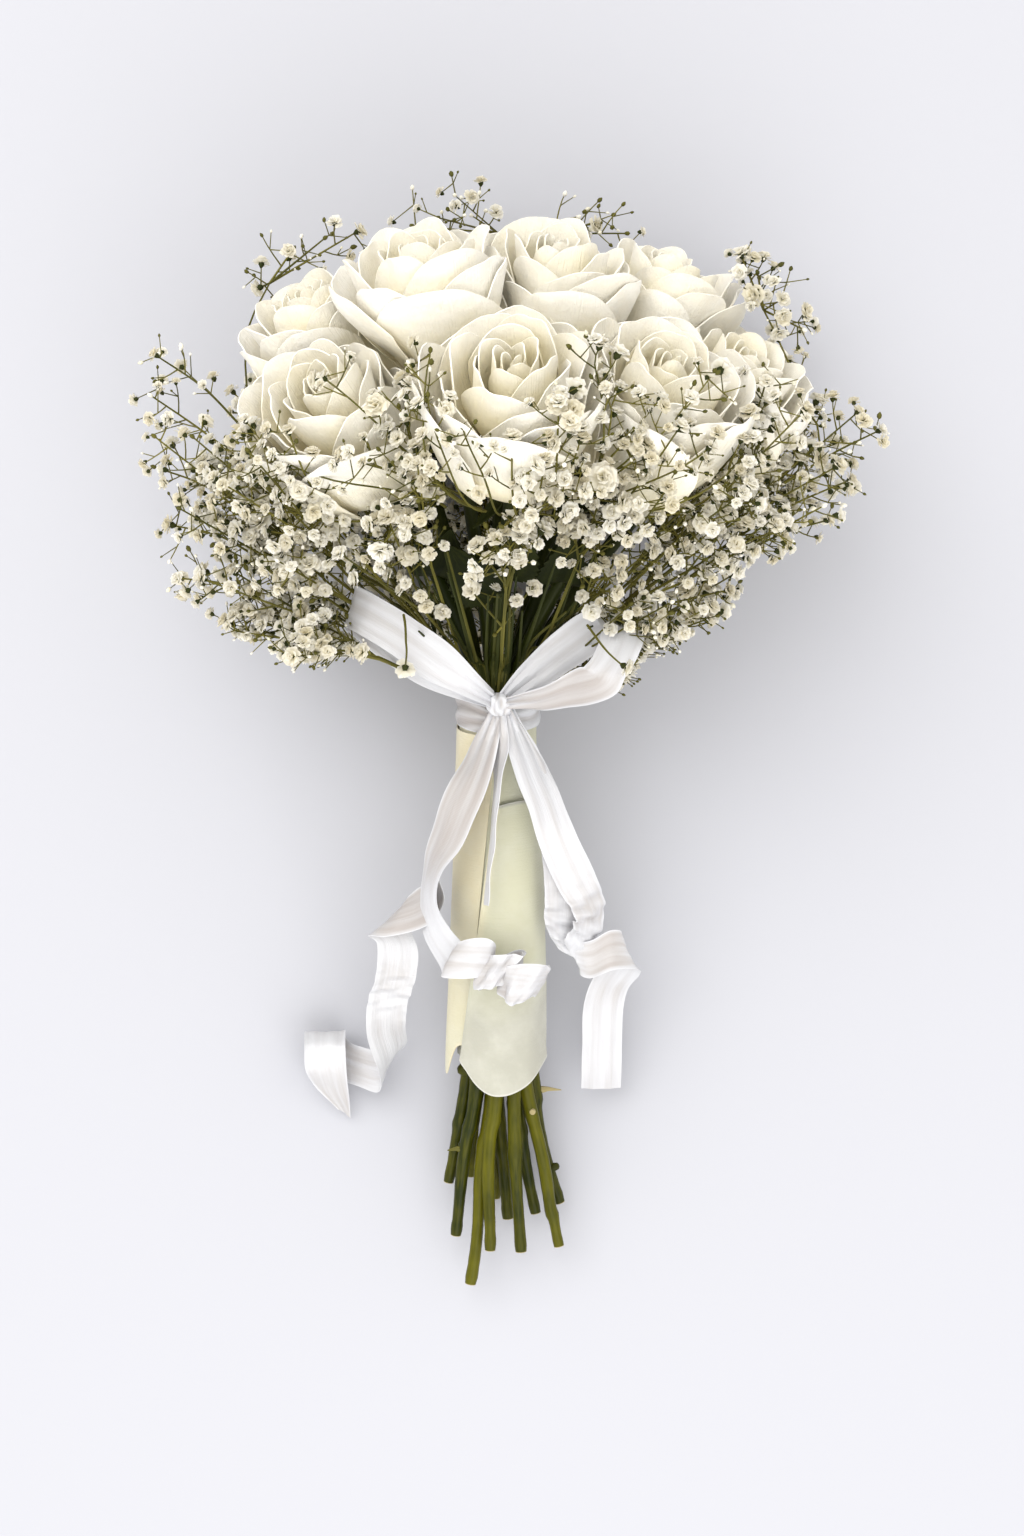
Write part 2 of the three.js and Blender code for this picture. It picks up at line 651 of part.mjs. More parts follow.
// Limbs that reach over the top of the bunch, by wedge: past its sides, and under its lowest blooms
const CROWNS = {
  0: {
    route: [point(114, 88, -18), point(113, 108, -32), point(104, 130, -34), point(98, 142, -32)],
    tips: [point(95, 157, -24), point(112, 137, -18), point(104, 148, -20), point(89, 163, -30)],
  },
  6: {
    route: [point(-84, 90, -8), point(-92, 112, -23), point(-92, 135, -27), point(-84, 152, -32)],
    tips: [point(-75, 165, -30), point(-88, 150, -34), point(-63, 170, -22), point(-51, 172, -26)],
  },
  9: {
    route: [point(-2.5, 62, -64), point(-3.5, 100, -86), point(-3.5, 140, -97), point(0, 162, -94)],
    tips: [
      point(-16, 181, -58), point(-32, 170, -56), point(-22, 174, -48), point(-10, 172, -70),
      point(30, 172, -66), point(36, 170, -60), point(48, 167, -57),
    ],
  },
};
const CROWN_STEP = 8;
const CROWN_ROOM = 1.5;
const crownObstacles = Object.values(CROWNS).flatMap(({ route }) =>
  route.slice(1).flatMap((to, k) => {
    const steps = Math.ceil(to.distanceTo(route[k]) / CROWN_STEP);
    return Array.from({ length: steps }, (_, i) => ({
      centre: mix(route[k], to, i / steps),
      radius: CROWN_ROOM,
    }));
  }),
);

// What a spray keeps clear of: blooms, the sepals under them, the bow's loops and the long limbs
const BLOOM_ROOM = 1.06;
const SEPAL_ROOM = 13;
const BOW_ROOM = 11.5;
const BOW_PLACES = [
  [-20, 16, 24], [-36, 33, 28], [-51, 38, 26], [16, 25, 30.5], [20, 15, 25], [37, 25, 29], [44, 21, 34],
];
const OBSTACLES = [
  ...crownObstacles,
  ...ROSES.map((rose) => ({ centre: rose.middle, radius: rose.radius * BLOOM_ROOM })),
  ...ROSES.map((rose) => ({
    centre: rose.base.clone().addScaledVector(rose.faces, -5),
    radius: SEPAL_ROOM,
  })),
  ...BOW_PLACES.map(([x, y, z]) => ({ centre: point(x, y, z), radius: BOW_ROOM })),
];

// A point moved off the obstacles and the stems, into its cell and off the surface
const PASSES = 12;
const EDGE = 0.2;
const STEM_ROOM = 1.15;
function settled(p, walls, clearance) {
  const moved = p.clone();
  for (let pass = 0; pass < PASSES; pass++) {
    for (const { centre, radius } of OBSTACLES) {
      const away = moved.clone().sub(centre);
      const distance = away.length();
      const least = radius + clearance;
      if (distance < least) moved.addScaledVector(away, (least + EDGE) / distance - 1);
    }
    for (const rose of ROSES) {
      if (moved.y < BUNDLE_TOP || moved.y > stemTop(rose).y) continue;
      const away = moved.clone().sub(stemAbove(rose, moved.y));
      const least = (STEM_RADIUS + clearance) * STEM_ROOM;
      const outward = point(moved.x, 0, moved.z).normalize();
      if (away.length() < least) moved.addScaledVector(outward, least + EDGE - away.length());
    }
    for (const wall of walls) {
      const inside = moved.dot(wall);
      if (inside < clearance + GAP) moved.addScaledVector(wall, clearance + GAP - inside);
    }
    const lift = LOWEST_BEAD + clearance - BEAD_RADIUS - height(moved);
    if (lift > 0) {
      const shorter = 1 - lift / (Math.cos(TILT) * Math.max(1, -moved.z));
      moved.x *= shorter;
      moved.z *= shorter;
    }
  }
  return moved;
}

// A twig's points, bent clear where something is in its way
const BEND_PLACES = [0.35, 0.68];
const LEAST_BEND = 0.1;
function twigPath(from, to, walls) {
  const bends = BEND_PLACES.flatMap((share) => {
    const straight = mix(from, to, share);
    const bend = settled(straight, walls, BEND_CLEARANCE);
    return bend.distanceTo(straight) > LEAST_BEND ? [bend] : [];
  });
  return [from, ...bends, to];
}

// A twig's route to its bead, which stands for one pompon of tiny petals
const BEAD_SHARE = 0.8;
const BEAD_TIP = 0.8;
function beadRoute(from, end, walls) {
  const path = twigPath(from, end, walls);
  const way = end.clone().sub(path.at(-2)).normalize();
  const bends = path.slice(1, -1).map((at) => ({ at, radius: TWIG_RADIUS }));
  return [
    ...bends,
    { at: end.clone().addScaledVector(way, -BEAD_RADIUS * BEAD_SHARE), radius: TWIG_RADIUS },
    { at: end, radius: BEAD_RADIUS },
    { at: end.clone().addScaledVector(way, BEAD_RADIUS * BEAD_SHARE), radius: BEAD_TIP },
  ];
}

const LIMBS = 3;
const TWIG_SIDES = 3;
const BEND_CLEARANCE = SPRAY_STEM_RADIUS + 0.4;
const FORK_SHARE = 0.4;
const HUB_SHARE = 0.68;
const STEPS = { first: 0.5, turn: 0.7548776662, depth: 0.618034 };
const TURN_SHARE = 0.8;
const DEPTH_SHARE = 0.34;
function sprayTips(azimuth, range, walls, tips) {
  const half = Math.PI / WEDGES;
  return Array.from({ length: tips }, (_, i) => {
    const u = (STEPS.first + STEPS.turn * (i + 1)) % 1;
    const v = (i + 0.5) / tips;
    const w = (STEPS.depth * (i + 1)) % 1;
    const turn = azimuth + half * (2 * u - 1) * TURN_SHARE;
    const polar = (range[0] + (range[1] - range[0]) * v) * DEGREE;
    const distance = collarReach(turn, polar) * (1 - DEPTH_SHARE * w);
    return settled(polarPoint(turn, polar, distance), walls, BEAD_RADIUS);
  });
}

function sprayRoot(azimuth) {
  const flat = point(Math.cos(azimuth), 0, Math.sin(azimuth));
  const at = (radius, y) => flat.clone().multiplyScalar(radius).setY(y);
  const foot = at(SPRAY_RING * BUNDLE_SPREAD, BUNDLE_FOOT + 2);
  return [foot, at(SPRAY_RING, 0), at(SPRAY_RING + 0.4, BUNDLE_TOP + 1)];
}

// A limb from the fork to a hub, where its twigs part: the first one carries on, the rest start there
function limb(shape, route, hub, ends, walls) {
  const twigs = ends.slice(1).map((end) => ({
    way: end.clone().sub(hub).normalize(),
    grow: (base) => growTube(shape, base, beadRoute(hub, end, walls), TWIG_SIDES),
  }));
  const bends = route.slice(1, -1).map((at) => ({ at, radius: SPRAY_STEM_RADIUS }));
  return {
    way: route[1].clone().sub(route[0]).normalize(),
    route: [
      ...bends,
      { at: hub, radius: SPRAY_STEM_RADIUS, twigs },
      ...beadRoute(hub, ends[0], walls),
    ],
  };
}

const STALK_BEND = { share: 0.35, rise: 2.5 };
function spray(azimuth, stemAzimuth, range, tier, tips, crown) {
  const walls = cellWalls(azimuth, tier);
  const ends = sprayTips(azimuth, range, walls, tips);
  const middle = (group, share) =>
    settled(sumOf(group).multiplyScalar(share / group.length), walls, BEND_CLEARANCE);
  const shape = growing();
  const fork = middle(ends, FORK_SHARE);
  const limbs = Array.from({ length: LIMBS }, (_, k) => {
    const group = ends.slice(Math.round((k * tips) / LIMBS), Math.round(((k + 1) * tips) / LIMBS));
    const hub = middle(group, HUB_SHARE);
    return limb(shape, twigPath(fork, hub, walls), hub, group, walls);
  });
  if (crown) limbs.push(limb(shape, [fork, ...crown.route], crown.route.at(-1), crown.tips, []));
  const [main] = limbs.splice(1, 1);
  const twigs = limbs.map(({ way, route }) => ({
    way,
    grow: (base) => growTube(shape, base, route, TWIG_SIDES),
  }));
  const root = sprayRoot(stemAzimuth);
  const bend = mix(root.at(-1), fork, STALK_BEND.share).add(point(0, STALK_BEND.rise, 0));
  const stalk = [...root, bend];
  const route = stalk.map((at) => ({ at, radius: SPRAY_STEM_RADIUS }));
  const parting = { at: fork, radius: SPRAY_STEM_RADIUS, twigs };
  growTube(shape, null, [...route, parting, ...main.route], TWIG_SIDES);
  return solid(shape);
}

// The wrap: a sleeve round the bundle, a flap on its left and a panel over its front
const CLOTH = 0.6;
const SLEEVE_INSIDE = [[-136, 15.1], [BUNDLE_FOOT, 15.1], [-70, 14.4], [BUNDLE_TOP, 13.75]];
const SLEEVE_SIDES = 18;
function sleeve() {
  const ring = (radius, y) =>
    Array.from({ length: SLEEVE_SIDES }, (_, k) => {
      const turn = (2 * Math.PI * k) / SLEEVE_SIDES;
      return point(radius * Math.sin(turn), y, radius * Math.cos(turn));
    });
  const rings = SLEEVE_INSIDE.map(([y, radius]) => ring(radius + CLOTH, y));
  const outer = solid(skinned(rings));
  const bore = SLEEVE_INSIDE.map(([y, radius]) => [y, radius]);
  bore[0][0] -= 1;
  bore[bore.length - 1][0] += 1;
  return outer.subtract(solid(skinned(bore.map(([y, radius]) => ring(radius, y)))));
}

const bump = (value, middle, width) => Math.exp(-(((value - middle) / width) ** 2));

function wrapPoint(radius, y, turn) {
  return point(radius * Math.cos(turn * DEGREE), y, radius * Math.sin(turn * DEGREE));
}

const FLAP_RADIUS = [[-146, 16.7], [BUNDLE_FOOT, 16.7], [-70, 15.85], [-8, 15.25]];
const FLAP_FLARE = [[-138, 3.3], [-110, 2.3], [-70, 1.2], [-8, 0]];
const FLAP_LEVELS = [-8, -35, -70, -105, -128];
function flap() {
  const levels = [...FLAP_LEVELS, null];
  const grid = levels.map((level, row) => {
    const share = row / FLAP_LEVELS.length;
    const front = 92 + 42 * share;
    return [0, 1, 2, 3, 4, 5, 6, 7].map((column) => {
      const turn = front + ((252 - 40 * share - front) * column) / 7;
      const tip = -129 - 14 * bump(turn, 172, 14);
      const y = level ?? tip;
      return wrapPoint(along(FLAP_RADIUS, y) + along(FLAP_FLARE, y) * bump(turn, 178, 26), y, turn);
    });
  });
  return blade(grid, CLOTH);
}

const PANEL_RADIUS = [[-148, 17.2], [-128, 17.8], [-108, 17.8], [-72, 17], [-36, 16.2]];
const PANEL_LEVELS = [-36, -60, -90, -118];
const PANEL_LEFT = { top: 95, lean: 46 };
const PANEL_RIGHT = -112;
const PANEL_COLUMNS = 12;
const PANEL_HEM = { lowest: -147, rise: 14, power: 1.4 };
function panel() {
  const levels = [...PANEL_LEVELS, null];
  const grid = levels.map((level, row) => {
    const share = row / PANEL_LEVELS.length;
    const left = PANEL_LEFT.top + PANEL_LEFT.lean * share;
    return Array.from({ length: PANEL_COLUMNS }, (_, column) => {
      const turn = left + ((PANEL_RIGHT - left) * column) / (PANEL_COLUMNS - 1);
      const sideways = turn > 0 && turn < 180 ? Math.abs(Math.cos(turn * DEGREE)) : 1;
      const hem = PANEL_HEM.lowest + PANEL_HEM.rise * sideways ** PANEL_HEM.power;
      const y = level ?? hem;
      const top = row === 0 ? 3 * bump(turn, 60, 40) : 0;
      return wrapPoint(along(PANEL_RADIUS, y), y + top, turn);
    });
  });
  return blade(grid, CLOTH);
}

// The ribbon, in the level frame: each row is a middle and half the ribbon's width, as vectors
const SATIN = 0.7;
const LEFT_LOOP = [
  [-2.1, 1.8, 87, 1.1, 2.6, 0.5], [-10.1, 7.2, 93, 2.5, 4.0, 1.5],
  [-21.6, 15.1, 95, 4.4, 6.2, 1.5], [-34.7, 24.5, 96, 4.3, 6.2, 1.5],
  [-47.8, 32.6, 93, 3.3, 6.9, 1], [-54.2, 35.7, 87.5, 2.2, 7.3, 1],
  [-49.6, 31.5, 83, 2.9, 6.9, 1], [-35.7, 20.6, 85, 4.0, 6.2, 2],
  [-21.8, 10.3, 87, 3.3, 4.7, 3], [-10.1, 4.5, 87.5, 1.5, 3.3, 1],
  [-2.8, 1.2, 84, 0.7, 2.2, 0.5],
];
const RIGHT_LOOP = [
  [2.6, 2.2, 86, 1.8, -2.2, -0.5], [12.5, 10.2, 90, 3.6, -4.4, -1],
  [25.6, 20.4, 93, 4.7, -5.8, -1], [37.9, 28.4, 95, 5.8, -5.1, 0],
  [45.0, 25.9, 101, 7.6, -1.4, 0], [43.5, 17.1, 104, 7.7, 0.6, 0],
  [38.4, 9.9, 103, 5.1, 5.1, 2.7], [24.8, 4.7, 99, 1.4, 6.2, 4.4],
  [13.6, 1.5, 93, 0.4, 4.0, 4], [3.7, 0.4, 87, 0.0, 2.2, 1],
];
const TAIL_LEFT = [
  [-0.3, -2.3, 84, 2.2, -0.7, 0.5], [-6.5, -20.4, 82, 5.1, -1.8, 5.5],
  [-13.1, -35.0, 79, 6.2, -2.9, 3.6], [-19.1, -49.8, 74, 5.5, -2.6, 4.8],
  [-24.0, -60.9, 68, 3.3, -1.1, 6.9], [-25.9, -72.2, 62, 3.0, -0.4, 7.1],
  [-22.6, -85.3, 59, 4.1, 1.9, 6.3], [-14.8, -94.4, 63, 3.7, 5.2, 4.4],
  [-6.6, -92.6, 69, 1.1, 7.4, 2], [2.6, -95.3, 73, 0.7, 7.4, 2.2],
  [11.8, -101.3, 71, -1.5, 7.0, 3], [19.3, -104.7, 63, -2.2, 4.4, 3],
];
const STREAMER = [
  [-23, -62, 65, 1, -2.5, 1.5], [-22, -69, 57, 1.8, -4.5, 3],
  [-28.5, -75.5, 54, 2.2, -6.3, 3.9], [-38.1, -79.3, 51, -3.4, -6.7, 2],
  [-41.9, -82.4, 47, -6.4, -3.7, 2.3], [-37.8, -90.0, 44, -7.5, 0.7, 1.5],
  [-38.4, -101.1, 40, -7.5, 0.4, 1.9], [-41.6, -111.6, 34, -7.5, 0.0, 1.9],
  [-42.5, -122.6, 27, -7.2, -1.9, 2], [-40.5, -133.0, 19, -5.3, -5.3, 1.9],
  [-43.7, -139.5, 13, -1.5, -7.6, 0.3], [-53.8, -137.5, 9, 0.0, -7.7, 0.3],
  [-62.4, -133.9, 6, -4.6, -6.1, 1], [-66.2, -127.7, 6, -7.6, -1.5, 0.2],
  [-66.3, -123.5, 12, -7.8, 0.0, 0], [-66.1, -129.2, 18, -7.8, 0.0, 0],
  [-65.7, -138.5, 17, -7.8, 0.0, 0], [-63.7, -147.3, 11, -6.5, 1.9, 0],
  [-59.3, -156.2, 4.5, -2.3, 1.9, 0.5],
];
const TAIL_MIDDLE = [
  [1.2, -2.3, 85, 1.5, -0.4, 1], [0.8, -14.9, 85, 3.3, 0.0, 5],
  [0.4, -25.9, 83.5, 1.8, 0.0, 6.5], [-0.7, -35.7, 81.5, 1.1, 0.0, 7],
  [-2.1, -53.4, 77, 0.9, 0.0, 7], [-4.4, -73.8, 71.5, 0.7, 0.0, 6.5],
];
const TAIL_RIGHT = [
  [3.7, -2.3, 84, 2.2, 0.7, -0.5], [9.6, -18.6, 84, 4.7, 1.8, -5.8],
  [16.6, -35.0, 80, 6.2, 2.9, -3.6], [22.8, -51.6, 74, 7.0, 3.3, 0],
  [29.2, -65.4, 67, 7.1, 3.2, 0], [34.1, -76.7, 60, 6.3, 1.5, -4.2],
  [31.3, -86.6, 54, 4.5, -3.0, -5.5], [27.6, -93.5, 50, 3.0, -5.2, -4.9],
  [34.3, -95.0, 50, 0.0, -7.1, -3], [42.5, -91.2, 51, 0.7, -7.5, -1.8],
  [49.4, -92.2, 46, 3.0, -6.7, -2.5], [46.5, -98.4, 41, 6.4, -3.4, -2.8],
  [41.4, -106.2, 36, 7.5, -0.4, -2], [39.6, -115.5, 31, 7.6, 0.0, -1.5],
  [39.4, -130.5, 22, 7.6, 0.0, -1.5], [39.2, -145.6, 13, 7.6, 0.0, -1.5],
];

const strip = (rows) =>
  blade(
    rows.map(([x, y, z, dx, dy, dz]) => [
      point(x - dx, y - dy, z - dz),
      point(x + dx, y + dy, z + dz),
    ]),
    SATIN,
  );

const KNOT = [[4.2, 2.2], [2.5, 4.4], [-1.5, 4.6], [-4.6, 2.4]];
const KNOT_MIDDLE = point(0.8, 0, 84.4);
function knot() {
  const path = KNOT.map(([y]) => KNOT_MIDDLE.clone().add(point(0, y, 0)));
  return tube(path, KNOT.map(([, radius]) => radius), 8);
}

const BAND = [[-7, 14.8], [-1, 14.7], [4.5, 14.8]];
const BAND_SIDES = 18;
const BAND_BORE = [[-8, 14.65], [5.5, 14.65]];
function band() {
  const ring = (radius, y) =>
    Array.from({ length: BAND_SIDES }, (_, k) => {
      const turn = (2 * Math.PI * k) / BAND_SIDES;
      return point(radius * Math.sin(turn), y, radius * Math.cos(turn));
    });
  const outer = solid(skinned(BAND.map(([y, radius]) => ring(radius + SATIN, y))));
  const bore = solid(skinned(BAND_BORE.map(([y, radius]) => ring(radius, y))));
  return outer.subtract(bore);
}

const bunch = new THREE.Group();
bunch.position.set(BINDING_X, BINDING_Y, BINDING_HEIGHT);
bunch.rotation.x = TILT;

ROSES.forEach((rose, number) => bunch.add(roseMesh(rose, number), stemMesh(rose)));

for (let wedge = 0; wedge < WEDGES; wedge++) {
  const azimuth = (2 * Math.PI * wedge) / WEDGES;
  const quarter = Math.PI / WEDGES / 2;
  const isFront = FRONT_WEDGES.includes(wedge);
  const crown = CROWNS[wedge];
  const upper = isFront
    ? spray(azimuth, azimuth, FRONT_RANGE, "whole", FRONT_TIPS)
    : spray(azimuth, azimuth - quarter, OTHER_RANGES[wedge] ?? UPPER_RANGE, "upper", UPPER_TIPS, crown);
  bunch.add(meshOf("spray_upper_" + (wedge + 1), upper, sprayCream));
  if (!isFront) {
    const lower = spray(azimuth, azimuth + quarter, LOWER_RANGE, "lower", LOWER_TIPS);
    bunch.add(meshOf("spray_lower_" + (wedge + 1), lower, sprayCream));
  }
}

bunch.add(meshOf("wrap_sleeve", sleeve(), wrapIvory));
bunch.add(meshOf("wrap_flap", solid(flap()), wrapIvory));
bunch.add(meshOf("wrap_panel", solid(panel()), wrapIvory));
bunch.add(meshOf("ribbon_band", band(), satinWhite));

const strips = [LEFT_LOOP, RIGHT_LOOP, TAIL_LEFT, STREAMER, TAIL_MIDDLE, TAIL_RIGHT];
const bow = meshOf("ribbon_bow", joined([knot(), ...strips.map(strip)].map(solid)), satinWhite);
bow.position.set(BINDING_X, BINDING_Y, 0);

const bouquet = new THREE.Group();
bouquet.add(bunch, bow);

export default bouquet;
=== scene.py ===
# A hand-tied bouquet of white roses and baby's breath that lies on its back, in metres.
# Blooms, stems, sprays and wraps are made in the bunch's own frame: x across, y along the stems
# from the binding towards the flowers, z towards the front. The ribbon's frame is level.
import math
from collections import namedtuple

import bpy
import numpy as np
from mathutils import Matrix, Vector

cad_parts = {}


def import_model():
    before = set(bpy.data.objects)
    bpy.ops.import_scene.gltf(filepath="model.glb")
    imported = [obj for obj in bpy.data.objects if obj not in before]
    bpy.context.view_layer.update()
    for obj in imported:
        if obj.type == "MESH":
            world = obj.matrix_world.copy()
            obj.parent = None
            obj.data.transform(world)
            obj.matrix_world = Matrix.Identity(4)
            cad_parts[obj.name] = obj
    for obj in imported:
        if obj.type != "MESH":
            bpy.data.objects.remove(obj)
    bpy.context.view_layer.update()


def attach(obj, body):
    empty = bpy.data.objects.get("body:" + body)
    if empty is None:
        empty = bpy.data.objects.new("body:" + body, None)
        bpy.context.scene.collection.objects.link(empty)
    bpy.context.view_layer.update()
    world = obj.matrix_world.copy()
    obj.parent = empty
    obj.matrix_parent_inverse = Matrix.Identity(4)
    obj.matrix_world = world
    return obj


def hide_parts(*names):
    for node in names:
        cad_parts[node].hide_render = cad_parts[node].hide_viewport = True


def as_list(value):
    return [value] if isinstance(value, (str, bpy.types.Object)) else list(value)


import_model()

MM = 0.001

# Where the bunch lies, and how close its finer parts come to the surface
TILT = math.radians(15)
BINDING = np.array((-0.0046, 0.0127, 0.0637))
DOWN = Vector((0, -math.sin(TILT), -math.cos(TILT)))
LOWEST = 0.0003

# The camera looks straight down from above, a little off the binding
CAMERA_HEIGHT = 1.6
CAMERA_LENS = 97.3
CAMERA_SENSOR = 36
CAMERA_CLIP = 0.05
CAMERA_FROM_BINDING = (0.0052, -0.0233)

# The bundle: rose stems in two rings, spray stems round them, and how it widens downwards
STEM_RADIUS = 0.00275
INNER_RING = 0.0034
OUTER_RING = 0.009
SPRAY_RING = 0.01265
BUNDLE_TOP = 0.004
BUNDLE_FOOT = -0.128
BUNDLE_SPREAD = 1.1
BLADE = 0.0008
GAP = 0.0003


def in_row(points):
    """Points of the bunch's frame in the row's frame."""
    x, y, z = np.asarray(points, float).T
    turned = (x, y * math.cos(TILT) - z * math.sin(TILT), y * math.sin(TILT) + z * math.cos(TILT))
    return np.column_stack(turned) + BINDING


def level(points):
    """Points of the ribbon's level frame in the row's frame."""
    return np.asarray(points, float) + BINDING * (1, 1, 0)


def raised(points):
    """Points of the row's frame, none under the surface."""
    return np.maximum(points, (-math.inf, -math.inf, LOWEST))


def on_surface(points):
    return raised(in_row(points))


def level_on_surface(points):
    return raised(level(points))


def unlevel(points):
    """Places in the level frame, in millimetres, as points of the bunch's frame."""
    x, y, z = (np.asarray(points, float) * MM).T
    z = z - BINDING[2]
    turned_back = (x, y * math.cos(TILT) + z * math.sin(TILT), z * math.cos(TILT) - y * math.sin(TILT))
    return np.column_stack(turned_back)


def height(p):
    return BINDING[2] - p.dot(DOWN)


# A draw times this is a turn in radians
AROUND = 6.3


def draws(seed):
    """The same draws on every run."""
    state = seed

    def draw():
        nonlocal state
        state = (state + 0x6D2B79F5) & 0xFFFFFFFF
        t = ((state ^ (state >> 15)) * (1 | state)) & 0xFFFFFFFF
        t = ((t + (((t ^ (t >> 7)) * (61 | t)) & 0xFFFFFFFF)) ^ t) & 0xFFFFFFFF
        return (t ^ (t >> 14)) / 4294967296

    return draw


def mix(a, b, t):
    return a + (b - a) * t


def bump(value, middle, width):
    return np.exp(-(((value - middle) / width) ** 2))


def between(table, places):
    """A table of places and values, read at places between its own."""
    return np.interp(places, *zip(*sorted(table)))


def rising(value, start, length):
    """A share that rises from 0 at start to 1 a length further on."""
    return np.clip((value - start) / length, 0, 1)


def unit(v):
    return v / np.maximum(np.linalg.norm(v, axis=-1, keepdims=True), 1e-12)


def smoothed(rows, places):
    """Rows read at places from 0 to 1 along a smooth curve through them."""
    rows = np.asarray(rows, float)
    ends = np.vstack((2 * rows[0] - rows[1], rows, 2 * rows[-1] - rows[-2]))
    at = np.clip(np.asarray(places, float), 0, 1) * (len(rows) - 1)
    k = np.minimum(at.astype(int), len(rows) - 2)
    t = (at - k)[..., None]
    a, b, c, d = ends[k], ends[k + 1], ends[k + 2], ends[k + 3]
    return b + t * (c - a + t * (2 * a - 5 * b + 4 * c - d + t * (3 * (b - c) + d - a))) / 2


class Body:
    """Points, faces, the material of each face and the three numbers that each point carries."""

    def __init__(self):
        self.points, self.faces, self.slots, self.notes, self.size = [], [], [], [], 0

    def add(self, points, faces, slot=0, notes=(0, 0, 0)):
        points = np.asarray(points, float).reshape(-1, 3)
        faces = np.asarray(faces, int)
        self.points.append(points)
        self.faces.append(faces + self.size)
        self.slots.append(np.full(len(faces), slot))
        self.notes.append(np.broadcast_to(np.asarray(notes, float), points.shape))
        self.size += len(points)

    def add_blade(self, grid, thickness, slot, notes):
        """A thin sheet round a grid, whose notes hold for both its faces."""
        points, faces = blade(grid, thickness)
        self.add(points, faces, slot, np.concatenate((notes, notes)).reshape(-1, 3))


# Edges sharper than these angles in degrees stay sharp
SHARP = 50
SPRAY_SHARP = 70
CLOTH_SHARP = 60
RIBBON_SHARP = 40


def linked(name, data):
    """A new object in the scene."""
    made = bpy.data.objects.new(name, data)
    bpy.context.scene.collection.objects.link(made)
    return made


def make(name, node, body, materials, place=in_row, sharp=SHARP):
    """A piece that shows a node of the part in one of its material slots."""
    mesh = bpy.data.meshes.new(name)
    faces = [face for block in body.faces for face in block.tolist()]
    mesh.from_pydata(place(np.vstack(body.points)).tolist(), [], faces)
    mesh.polygons.foreach_set("material_index", np.concatenate(body.slots))
    mesh.polygons.foreach_set("use_smooth", np.ones(len(faces), bool))
    note = mesh.attributes.new("note", "FLOAT_VECTOR", "POINT")
    note.data.foreach_set("vector", np.vstack(body.notes).ravel())
    for material in materials:
        mesh.materials.append(material)
    mesh.set_sharp_from_angle(angle=math.radians(sharp))
    mesh.update()
    piece = linked(name, mesh)
    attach(piece, "root")
    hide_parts(node)
    return piece


def shares(rows, columns):
    """Shares from 0 to 1 down and across a grid."""
    return np.meshgrid(np.linspace(0, 1, rows), np.linspace(0, 1, columns), indexing="ij")


def grid_faces(rows, columns):
    start = (np.arange(rows - 1)[:, None] * columns + np.arange(columns - 1)).ravel()
    return np.column_stack((start, start + columns, start + columns + 1, start + 1))


def blade(grid, thickness):
    """A thin closed sheet round a grid of points: its points and its faces."""
    rows, columns = grid.shape[:2]
    normal = unit(np.cross(np.gradient(grid, axis=0), np.gradient(grid, axis=1)))
    points = np.concatenate((grid + normal * thickness / 2, grid - normal * thickness / 2))
    top = grid_faces(rows, columns)
    under = rows * columns
    index = np.arange(under).reshape(rows, columns)
    rim = np.concatenate((index[:-1, 0], index[-1, :-1], index[:0:-1, -1], index[0, :0:-1]))
    after = np.roll(rim, -1)
    sides = np.column_stack((rim, rim + under, after + under, after))
    return points.reshape(-1, 3), np.vstack((top, top[:, ::-1] + under, sides))


def tube_grid(path, radii, sides):
    """Rings of points round a path."""
    path = np.asarray(path, float)
    tangent = unit(np.gradient(path, axis=0))
    side = np.empty_like(path)
    first = np.array((0, 0, 1.0)) if abs(tangent[0][2]) < 0.8 else np.array((1.0, 0, 0))
    for k, way in enumerate(tangent):
        first = unit(first - way * first.dot(way))
        side[k] = first
    up = np.cross(tangent, side)
    turn = np.arange(sides) * 2 * math.pi / sides
    radii = np.broadcast_to(radii, len(path))[:, None, None]
    ring = side[:, None] * np.cos(turn)[:, None] + up[:, None] * np.sin(turn)[:, None]
    return path[:, None] + ring * radii


def ring_faces(rows, sides):
    """A closed tube's faces from its rings: its walls in triangles, then its two ends."""
    start = (np.arange(rows - 1)[:, None] * sides + np.arange(sides)).ravel()
    after = start + np.where(start % sides == sides - 1, 1 - sides, 1)
    fan = np.arange(1, sides - 1)
    low = np.column_stack((np.zeros_like(fan), fan + 1, fan))
    return np.vstack((
        np.column_stack((start, after, after + sides)),
        np.column_stack((start, after + sides, start + sides)),
        low,
        low[:, [0, 2, 1]] + (rows - 1) * sides,
    ))


def tube(path, radii, sides):
    """A closed tube: its points and its faces."""
    grid = tube_grid(path, radii, sides)
    return grid.reshape(-1, 3), ring_faces(len(grid), sides)


# Materials: colours and noises of each, over the three numbers that each point carries
BLACK = (0.0, 0.0, 0.0)
WHITE = (1.0, 1.0, 1.0)
# The sockets of a colour mix
MIX_INPUTS = (0, 6, 7)
MIX_OUTPUT = 2
# A third number as large as this shows the pale flesh of a cut
PALE = 2
# How far along a stem its green darkens as painted shade, in metres from its lower end: above the binding
SHADED = (0.17, 0.24)
# The steps of the cloth's threads and of the ribbon's ribs
WEAVE = 0.0005
RIBS = 0.0006


